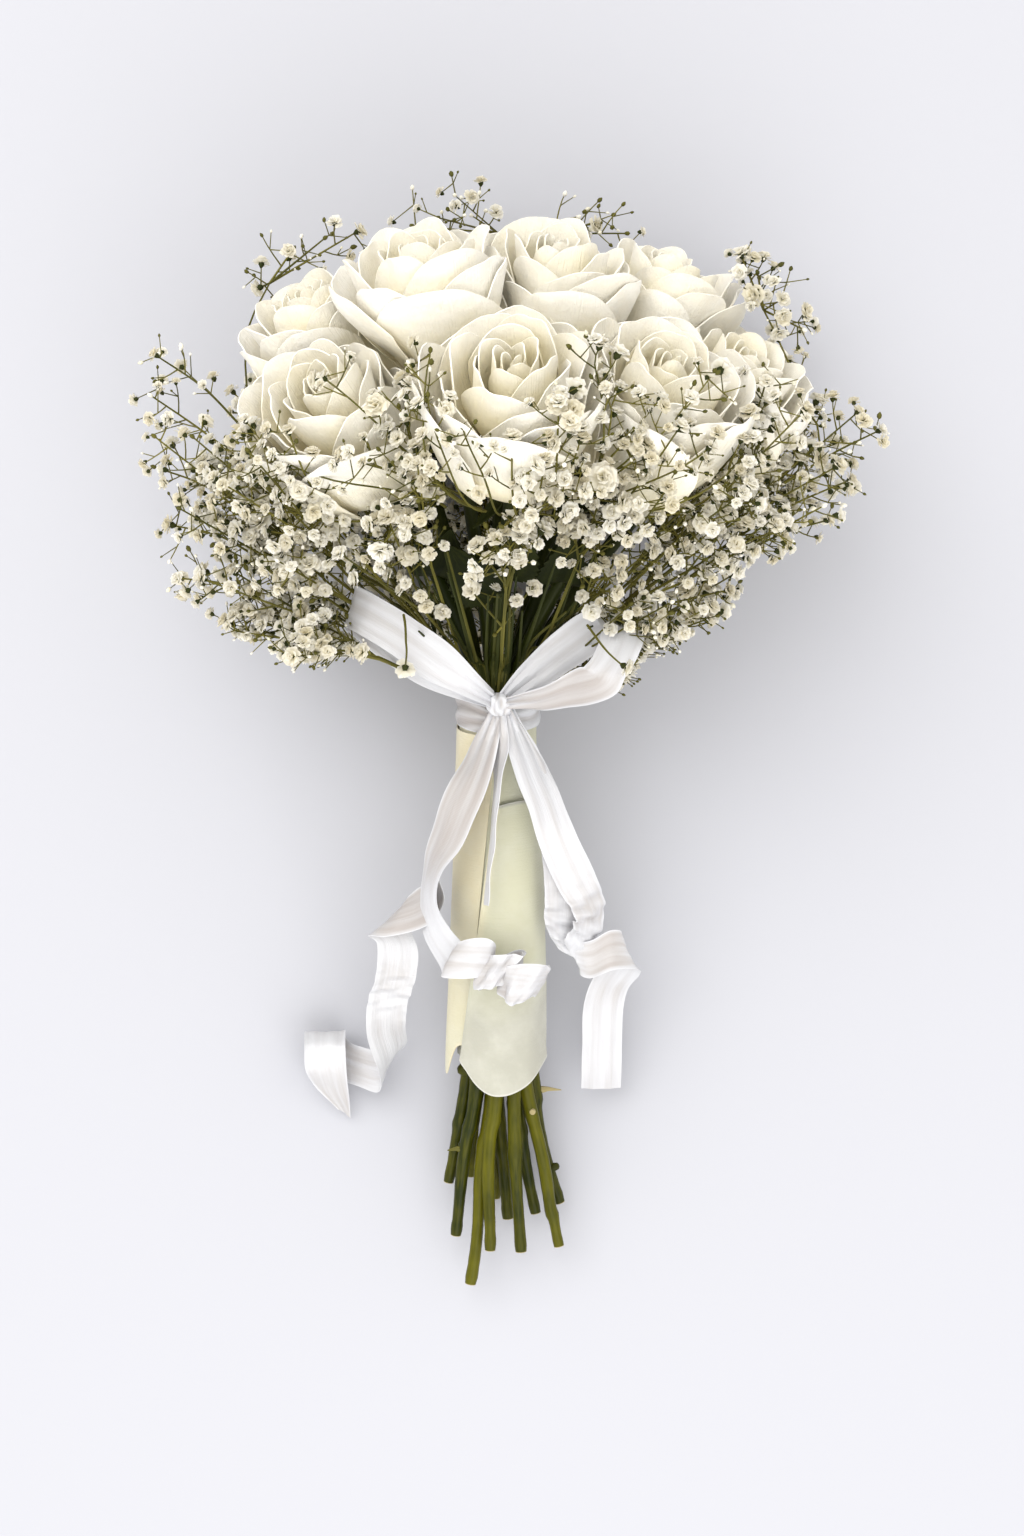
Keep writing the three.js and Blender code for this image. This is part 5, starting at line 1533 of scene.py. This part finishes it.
# Turns in degrees: where the sleeve starts and how far it goes round, and the flap's and the
# panel's sides from their tops to their feet
SLEEVE_GRID = (60, 110)
SLEEVE_START = 100
SLEEVE_SWEEP = 378
FLAP_GRID = (64, 56)
FLAP_FRONT = (92, 134)
FLAP_SIDE = (252, 212)
PANEL_GRID = (72, 96)
PANEL_LEFT = (95, 141)
PANEL_RIGHT = -112
SLEEVE_FOOT = -0.136
SLEEVE_LIFT = 0.00022
OVERLAP = 0.0005
FLAP_TOP = -0.008
FLAP_FOOT = -0.129
PANEL_TOP = -0.036
PANEL_FOOT = -0.147
PANEL_RADIUS = ((-0.148, 0.0172), (-0.128, 0.0178), (-0.108, 0.0178), (-0.072, 0.017), (-0.036, 0.0162))
CREASES = 9
HEM_POWER = 2.3
HEM_RISE = 0.0125
HEM_LEFT = 0.777
HEM_RIGHT = 0.93


def creases(turn, y, seed, amount):
    """Long shallow folds that run down a wrap and wander a little."""
    draw = draws(seed)
    total = np.zeros_like(turn)
    for k in range(CREASES):
        middle = 360 * k / CREASES - 180 + 26 * draw()
        lean = 130 * (draw() - 0.5)
        width = 5 + 9 * draw()
        size = (draw() - 0.35) * amount
        way = turn - middle - lean * (y + 0.07) * 3
        total += size * bump(way, 0, width) + 0.4 * size * np.sin(way / width + 40 * y)
    return total


def wrap_piece(name, turn, y, radius, shade):
    """A wrap from its grid of turns in degrees, heights and radii."""
    angle = np.radians(turn)
    grid = np.stack((radius * np.cos(angle), y, radius * np.sin(angle)), axis=-1)
    body = Body()
    body.add_blade(grid, CLOTH, 0, np.stack((radius * angle, y, shade), axis=-1))
    piece = make(name + "_cloth", name, body, [WRAP], in_row, CLOTH_SHARP)


def sleeve():
    t, s = shares(*SLEEVE_GRID)
    turn = SLEEVE_START + SLEEVE_SWEEP * s
    y = mix(SLEEVE_FOOT, BUNDLE_TOP, t) + 0.0012 * np.sin(5 * np.radians(turn)) * (1 - t) ** 6
    lifts = SLEEVE_LIFT + OVERLAP * rising(s, 0.9, 0.06)
    radius = between(SLEEVE_INSIDE, y) + lifts + creases(turn, y, 21, 0.00018)
    # The sleeve greys towards its foot, and a painted shadow greys it on its front right
    shade = mix(0.75, 0.15, t) + 0.25 * bump(turn, 400, 40)
    wrap_piece("wrap_sleeve", turn, y, radius, shade)


def flap():
    t, s = shares(*FLAP_GRID)
    turn = mix(mix(*FLAP_FRONT, t), mix(*FLAP_SIDE, t), s)
    y = mix(FLAP_TOP, FLAP_FOOT - 0.014 * bump(turn, 172, 14), t)
    flare = between(FLAP_FLARE, y) * bump(turn, 178, 26)
    radius = between(FLAP_RADIUS, y) + flare + creases(turn, y, 33, 0.0005)
    shade = np.where(t > 0.985, 0.0, 0.02 + 0.22 * t**2)
    wrap_piece("wrap_flap", turn, y, radius, shade)


def panel():
    t, s = shares(*PANEL_GRID)
    turn = mix(mix(*PANEL_LEFT, t), PANEL_RIGHT, s)
    cosine = np.cos(np.radians(turn))
    beside = np.where(cosine < 0, -cosine / HEM_LEFT, cosine * HEM_RIGHT)
    hem = PANEL_FOOT + HEM_RISE * np.where(turn > 0, beside, HEM_RIGHT) ** HEM_POWER
    y = mix(PANEL_TOP + 0.003 * bump(turn, 60, 40), hem, t)
    edge = OVERLAP * rising(t, 0.96, 0.04) + 0.0007 * bump(s, 0.01, 0.02)
    radius = between(PANEL_RADIUS, y) + edge + creases(turn, y, 47, 0.00055)
    shade = 0.38 + 0.42 * rising(t, 0.55, 0.22) - 0.35 * bump(s, 0, 0.03) * (1 - t)
    shade = np.where((t > 0.994) | (t < 0.006), 1.0, shade)
    wrap_piece("wrap_panel", turn, y, radius, shade)


sleeve()
flap()
panel()

# The ribbon: each row is a middle and half the ribbon's width, in millimetres of the level frame,
# and a painted shade from lit white to shaded taupe
LEFT_LOOP = (
    (-2.1, 1.8, 87, 1.1, 2.6, 0.5, 0.05), (-10.1, 7.2, 93, 2.5, 4.0, 1.5, 0.1),
    (-21.6, 15.1, 95, 4.4, 6.2, 1.5, 0.15), (-34.7, 24.5, 96, 4.3, 6.2, 1.5, 0.25),
    (-47.8, 32.6, 93, 3.3, 6.9, 1, 0.3), (-54.2, 35.7, 87.5, 2.2, 7.3, 1, 0.4),
    (-49.6, 31.5, 83, 2.9, 6.9, 1, 0.3), (-35.7, 20.6, 85, 4.0, 6.2, 2, 0.2),
    (-21.8, 10.3, 87, 3.3, 4.7, 3, 0.1), (-10.1, 4.5, 87.5, 1.5, 3.3, 1, 0.0),
    (-2.8, 1.2, 84, 0.7, 2.2, 0.5, 0.1),
)
RIGHT_LOOP = (
    (2.6, 2.2, 86, 1.8, -2.2, -0.5, 0.1), (12.5, 10.2, 90, 3.6, -4.4, -1, 0.1),
    (25.6, 20.4, 93, 4.7, -5.8, -1, 0.2), (37.9, 28.4, 95, 5.8, -5.1, 0, 0.1),
    (45.0, 25.9, 101, 7.6, -1.4, 0, 0.0), (42.8, 17.6, 104, 7.7, -0.8, 0, 0.1),
    (38.8, 11.6, 105, 7.5, -1.7, -0.5, 0.4), (36.4, 8.2, 103.5, 6.2, -4.9, -1.5, 0.8),
    (31.4, 6.3, 101.5, 2.2, -6.6, -3, 0.85), (24.6, 4.7, 98.5, -0.6, -6.3, -4, 0.85),
    (13.6, 1.5, 93, -0.4, -4.0, -4, 0.7), (3.7, 0.4, 87, 0.0, -2.2, -1, 0.4),
)
TAIL_LEFT = (
    (-0.3, -2.3, 84, 2.2, -0.7, 0.5, 0.4), (-6.5, -20.4, 82, 5.1, -1.8, 5.5, 0.75),
    (-13.1, -35.0, 79, 6.2, -2.9, 3.6, 0.85), (-19.1, -49.8, 74, 5.5, -2.6, 4.8, 0.8),
    (-24.0, -60.9, 68, 3.3, -1.1, 6.9, 0.6), (-25.9, -72.2, 62, 3.0, -0.4, 7.1, 0.1),
    (-22.6, -84.3, 60, 4.6, 1.9, 5.6, 0.0), (-17.5, -92.4, 62, 3.7, 5.2, 3.4, 0.1),
)
STREAMER = (
    (-23, -62, 65, 1, -2.5, 1.5, 0.6), (-22, -69, 57, 1.8, -4.5, 3, 0.75),
    (-28.5, -75.5, 54, 2.2, -6.3, 3.9, 0.85), (-38.1, -79.3, 51, -3.4, -6.7, 2, 0.85),
    (-41.9, -82.4, 47, -6.4, -3.7, 2.3, 0.5), (-37.8, -90.0, 44, -7.5, 0.7, 1.5, 0.1),
    (-38.4, -101.1, 40, -7.5, 0.4, 1.9, 0.35), (-41.6, -111.6, 34, -7.5, 0.0, 1.9, 0.1),
    (-42.5, -122.6, 27, -7.2, -1.9, 2, 0.3), (-40.5, -133.0, 19, -5.3, -5.3, 1.9, 0.05),
    (-43.7, -139.5, 13, -1.5, -7.6, 0.3, 0.2), (-53.8, -137.5, 9, 0.0, -7.7, 0.3, 0.5),
    (-62.4, -133.9, 6, -4.6, -6.1, 1, 0.5), (-66.2, -127.7, 6, -7.6, -1.5, 0.2, 0.5),
    (-66.3, -123.5, 12, -7.8, 0.0, 0, 0.3), (-66.1, -129.2, 18, -7.8, 0.0, 0, 0.0),
    (-65.7, -138.5, 17, -7.8, 0.0, 0, 0.3), (-63.7, -147.3, 11, -6.5, 1.9, 0, 0.5),
    (-59.3, -156.2, 4.5, -2.3, 1.9, 0.5, 0.6),
)
TAIL_MIDDLE = (
    (1.2, -2.3, 85, 1.5, -0.4, 1, 0.3), (0.8, -14.9, 85, 3.3, 0.0, 5, 0.5),
    (0.4, -25.9, 83.5, 1.8, 0.0, 6.5, 0.4), (-0.7, -35.7, 81.5, 1.1, 0.0, 7, 0.2),
    (-2.1, -53.4, 77, 0.9, 0.0, 7, 0.1), (-4.4, -73.8, 71.5, 0.7, 0.0, 6.5, 0.1),
)
TAIL_RIGHT = (
    (3.7, -2.3, 84, 2.2, 0.7, -0.5, 0.3), (9.6, -18.6, 84, 4.7, 1.8, -5.8, 0.1),
    (16.6, -35.0, 80, 5.6, 2.9, -3.6, 0.2), (22.8, -51.6, 74, 6.4, 3.3, 0, 0.25),
    (29.2, -65.4, 67, 6.6, 3.2, 0, 0.3), (34.1, -76.7, 60, 5.6, 1.5, -4.2, 0.5),
    (31.3, -86.6, 54, 4.5, -3.0, -5.5, 0.1), (27.6, -93.5, 50, 3.0, -5.2, -4.9, 0.0),
    (34.3, -95.0, 50, 0.0, -7.1, -3, 0.6), (42.5, -91.2, 51, 0.7, -7.5, -1.8, 0.8),
    (49.4, -92.2, 46, 3.0, -6.7, -2.5, 0.3), (46.5, -98.4, 41, 6.4, -3.4, -2.8, 0.0),
    (41.4, -106.2, 36, 7.5, -0.4, -2, 0.35), (39.6, -115.5, 31, 7.6, 0.0, -1.5, 0.2),
    (39.4, -130.5, 22, 7.6, 0.0, -1.5, 0.15), (39.2, -145.6, 13, 7.6, 0.0, -1.5, 0.3),
)
SHEER_RIGHT = (
    (3.6, -3.0, 82.5, 1.8, 0.6, -0.5, 0.2), (13.5, -22.0, 80, 3.6, 1.6, -2.6, 0.4),
    (20.5, -44.0, 72.5, 5.6, 1.8, -3, 0.55), (24.5, -66.0, 63, 7.2, 1.0, -2, 0.45),
    (24.5, -82.0, 55, 7.0, -1.0, -2, 0.2), (27.0, -93.0, 48, 4.5, -2.0, -2, 0.0),
)
# The left tail ends in bunched curls over the handle, rolled round a line
CURLS_START = np.array((-13, -94, 65.5))
CURLS_END = np.array((12.5, -103, 65))
CURL_RADII = (5.4, 4.6)
CURL_TURNS = 2.6
CURL_ROWS = 60
CURL_HALF = (1.6, 7.0, 1.0)
CURL_SWAY = 0.4


def curl_rows():
    """Rows of the left tail's curls: rolls that pass over the handle and lean to and fro."""
    rows = []
    for share in np.linspace(0.02, 1, CURL_ROWS):
        turn = 2 * math.pi * CURL_TURNS * share
        radius = CURL_RADII[0] * (1 + 0.2 * math.sin(2.3 * turn / math.pi))
        middle = mix(CURLS_START, CURLS_END, share)
        rise = CURL_RADII[1] * math.sin(turn)
        middle = middle + (-radius * math.cos(turn), 1.5 * math.sin(0.8 * turn), rise)
        lean = CURL_SWAY * math.sin(0.9 * turn + 0.5)
        puff = 0.78 + 0.3 * abs(math.sin(turn)) + 0.1 * math.sin(1.4 * turn)
        along_x, along_y, along_z = np.array(CURL_HALF) * puff
        half = (along_x + along_y * math.sin(lean), along_y * math.cos(lean), along_z)
        # Painted light and shade: each roll is lighter on top and darker underneath
        rows.append((*middle, *half, 0.62 - 0.3 * math.sin(turn - 0.4)))
    return tuple(rows)


RIBBON = 0.00025
RIBBON_ACROSS = (-1, -0.93, -0.8, -0.62, -0.42, -0.22, 0, 0.22, 0.42, 0.62, 0.8, 0.93, 1)
RIBBON_STEP = 0.001
PLEATS = 2.5
PLEAT = 0.0007
PLEAT_LENGTH = 0.016
EDGE_SHARE = 0.88
ARCH = 0.0006
RIPPLES = 4
RIPPLE = 0.00018
CRUMPLE_STEPS = (0.0078, 0.0047)


def evenly(rows):
    """Rows along a smooth curve through the given ones, a fixed step apart."""
    dense = smoothed(rows, np.linspace(0, 1, 24 * (len(rows) - 1) + 1))
    arc = np.concatenate(([0], np.cumsum(np.linalg.norm(np.diff(dense[:, :3], axis=0), axis=1))))
    places = np.linspace(0, arc[-1], round(arc[-1] / RIBBON_STEP) + 1)
    return np.column_stack([np.interp(places, arc, column) for column in dense.T]), places


def crumple(arc, across, crumples):
    """Sharp ripples across a ribbon in places along it."""
    total = np.zeros_like(arc + across)
    for place, width, amount in crumples:
        there = bump(arc / arc[-1], place, width) * amount
        long = np.sin(arc * 2 * math.pi / CRUMPLE_STEPS[0] + 1.8 * across + 2)
        short = np.sin(arc * 2 * math.pi / CRUMPLE_STEPS[1] - 2.6 * across)
        total = total + there * (long + 0.6 * short)
    return total


def ribbon_piece(name, rows, length, held, rests_on, seed, gathered, crumples):
    """A strip of ribbon through its rows, pleated where it is gathered, crumpled in places, with painted
    shade.
    """
    draw = draws(seed)
    smooth, arc = evenly(np.array(rows) * ((MM,) * 6 + (1,)))
    arc = arc[:, None]
    middle, half = smooth[:, None, :3], smooth[:, None, 3:6]
    across = np.array(RIBBON_ACROSS)[None, :]
    grid = middle + half * across[..., None]
    normal = unit(np.cross(np.gradient(grid, axis=0), np.gradient(grid, axis=1)))
    gather = np.zeros_like(arc)
    if gathered[0]:
        gather = gather + np.exp(-arc / PLEAT_LENGTH)
    if gathered[1]:
        gather = gather + np.exp((arc - arc[-1]) / PLEAT_LENGTH)
    folds = np.cos(math.pi * PLEATS * across + AROUND * draw() + 30 * arc)
    ripple = 0
    for _ in range(RIPPLES):
        size, pace, lean = 0.3 + draw(), 160 + 260 * draw(), 2.2 * (draw() - 0.5)
        ripple = ripple + size * np.sin(arc * pace + lean * across + AROUND * draw())
    crease = crumple(arc, across, crumples)
    lift = ARCH * (1 - across**2) + RIPPLE * ripple * (0.3 + across**2)
    lift = lift + PLEAT * folds * (gather + 0.18) + crease
    grid = grid + normal * lift[..., None]
    width = np.linalg.norm(half, axis=-1)
    # Painted light and shade follow the pleats and the crumples; the painted shade fades out at the edges
    shade = smooth[:, None, 6] + 0.3 * (gather + 0.3) * folds - 120 * crease
    edge = rising(np.abs(across), EDGE_SHARE, 1 - EDGE_SHARE)
    shade = np.clip(shade, 0, 1) * (1 - edge) - 0.1 * edge
    body = Body()
    body.add_blade(grid, RIBBON, 0, np.stack((across * width, arc + 0 * across, shade), axis=-1))
    piece = make(name, "ribbon_bow", body, [SATIN], level_on_surface, RIBBON_SHARP)
    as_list(rests_on)


KNOT_MIDDLE = np.array((0.0008, 0, 0.0844))
KNOT_GRID = (21, 57)
KNOT_GIRTH = 0.0045
KNOT_FLATNESS = 1.15
KNOT_PROFILE = (
    (-0.0045, 0.0018), (-0.0032, 0.0033), (-0.0015, 0.0039),
    (0.0008, 0.004), (0.0025, 0.0036), (0.0042, 0.0018),
)
BAND_GRID = (44, 150)
BAND_START = 95
BAND_SWEEP = 372
BAND_LIFT = 0.00045
BAND_FOLD = 0.0004
BAND_PROFILE = ((-0.007, 0.0149), (-0.001, 0.0148), (0.0045, 0.0149))


def knot_piece():
    """A small pinched knot with pleats that run over it."""
    t, turn = (share[:, :-1] for share in shares(*KNOT_GRID))
    turn = 2 * math.pi * turn
    y, radius = np.moveaxis(smoothed(KNOT_PROFILE, t), -1, 0)
    folds = np.sin(6 * turn + 7 * t) + 0.6 * np.sin(11 * turn - 5 * t)
    radius = radius * (1 + 0.09 * folds)
    grid = np.stack((KNOT_FLATNESS * radius * np.sin(turn), y, radius * np.cos(turn)), axis=-1)
    grid = grid + KNOT_MIDDLE
    # Painted light and shade: the ridges of the knot's pleats are lighter, their hollows darker
    notes = np.stack((turn * KNOT_GIRTH, y, np.clip(0.2 - 0.3 * folds, 0, 1)), axis=-1)
    body = Body()
    body.add(grid, ring_faces(*t.shape), 0, notes.reshape(-1, 3))
    make("ribbon_knot", "ribbon_bow", body, [SATIN], level, CLOTH_SHARP)


def band_piece():
    """The ribbon round the binding, its pleats drawn together at the knot."""
    t, s = shares(*BAND_GRID)
    turn = BAND_START + BAND_SWEEP * s
    angle = np.radians(turn)
    y, radius = np.moveaxis(smoothed(BAND_PROFILE, t), -1, 0)
    from_knot = np.abs((turn - 90 + 180) % 360 - 180)
    spread = 0.3 + 0.7 * rising(from_knot, 0, 55)
    place = (t - 0.62) / spread + 0.5 + 0.25 * np.sin(angle * 2)
    folds = np.sin(2 * math.pi * 1.8 * place)
    radius = radius + BAND_LIFT + BAND_FOLD * folds + BAND_FOLD * rising(s, 0.94, 0.04)
    y = y + 0.0006 * np.sin(3 * angle) + 0.0006 * (1 - spread) * (t - 0.5)
    grid = np.stack((radius * np.cos(angle), y, radius * np.sin(angle)), axis=-1)
    # Painted shade: the band is taupe on its left, lighter and darker along its pleats, and unshaded at its
    # edges
    shade = np.where(np.cos(angle) < 0, 0.8, 0.15) - 0.3 * folds
    edge = np.maximum(0, np.abs(t - 0.5) - 0.45) / 0.05
    shade = np.clip(shade, 0, 1) * (1 - edge)
    body = Body()
    body.add_blade(grid, RIBBON, 0, np.stack((y, radius * angle, shade), axis=-1))
    piece = make("ribbon_wound", "ribbon_band", body, [SATIN], in_row, RIBBON_SHARP)


# Each strip of ribbon: its rows, its flat length, how it is held and what it rests on, its seed,
# which of its ends are gathered, and its crumples by place, width and amount
KNOTTED = (True, False)
LOOPED = (True, True)
LOOSE = (False, False)
ON_PANEL = ["wrap_panel_cloth"]
STRIPS = (
    ("left_loop", LEFT_LOOP, 0.135, "folded", ["ribbon_knot"], 3, LOOPED, ()),
    ("right_loop", RIGHT_LOOP, 0.12, "folded", ["ribbon_knot"], 5, LOOPED, ()),
    ("left_tail", TAIL_LEFT + curl_rows(), 0.2, "hung", ON_PANEL, 7, KNOTTED, ((0.82, 0.14, 0.001),)),
    ("streamer", STREAMER, 0.19, "laid", ["ribbon_left_tail"], 9, LOOSE, ((0.36, 0.05, 0.0005),)),
    ("middle_tail", TAIL_MIDDLE, 0.075, "hung", ON_PANEL, 11, KNOTTED, ()),
    ("sheer_tail", SHEER_RIGHT, 0.1, "hung", ON_PANEL, 15, KNOTTED, ((0.9, 0.15, 0.0006),)),
    ("right_tail", TAIL_RIGHT, 0.21, "hung", ON_PANEL, 13, KNOTTED, ((0.46, 0.07, 0.0008),)),
)
knot_piece()
band_piece()
for name, *strip in STRIPS:
    ribbon_piece("ribbon_" + name, *strip)

# The surface it lies on, the light and the camera. Lights: name, energy, place and colour
FLOOR_SIZE = 10.0
FLOOR_COLOUR = (0.505, 0.515, 0.562, 1)
SKY_COLOUR = (1.0, 0.975, 0.935, 1)
SKY_STRENGTH = 1.22
LIGHTS = (
    ("key", 16, (-0.6, 0.7, 1.6), (1.0, 0.985, 0.96)),
    ("fill", 11, (0.3, -1.1, 1.2), (1.0, 0.99, 0.98)),
)
LIGHT_SIZE = 1.6
LIGHT_AIM = Vector((0, 0.05, 0.05))


def floor():
    mesh = bpy.data.meshes.new("surface")
    corners = ((-1, -1), (1, -1), (1, 1), (-1, 1))
    mesh.from_pydata([(x * FLOOR_SIZE / 2, y * FLOOR_SIZE / 2, 0) for x, y in corners], [], [(0, 1, 2, 3)])
    shader = Shader("surface", Roughness=0.9, Specular_IOR_Level=0.1, Base_Color=FLOOR_COLOUR)
    mesh.materials.append(shader.material)
    linked("surface", mesh)


def light(name, energy, place, colour):
    data = bpy.data.lights.new(name, "AREA")
    data.shape = "DISK"
    data.size = LIGHT_SIZE
    data.energy = energy
    data.color = colour
    lamp = linked(name, data)
    lamp.location = place
    lamp.rotation_euler = (LIGHT_AIM - Vector(place)).to_track_quat("-Z", "Y").to_euler()


def world():
    made = bpy.data.worlds.new("studio")
    made.use_nodes = True
    background = made.node_tree.nodes["Background"]
    background.inputs["Color"].default_value = SKY_COLOUR
    background.inputs["Strength"].default_value = SKY_STRENGTH
    bpy.context.scene.world = made


def camera():
    data = bpy.data.cameras.new("camera")
    data.lens = CAMERA_LENS
    data.sensor_width = CAMERA_SENSOR
    data.clip_start = CAMERA_CLIP
    eye = linked("camera", data)
    x, y = BINDING[:2] + CAMERA_FROM_BINDING
    eye.location = (x, y, CAMERA_HEIGHT)
    bpy.context.scene.camera = eye


floor()
world()
for row in LIGHTS:
    light(*row)
camera()
bpy.context.scene.view_settings.view_transform = "Standard"
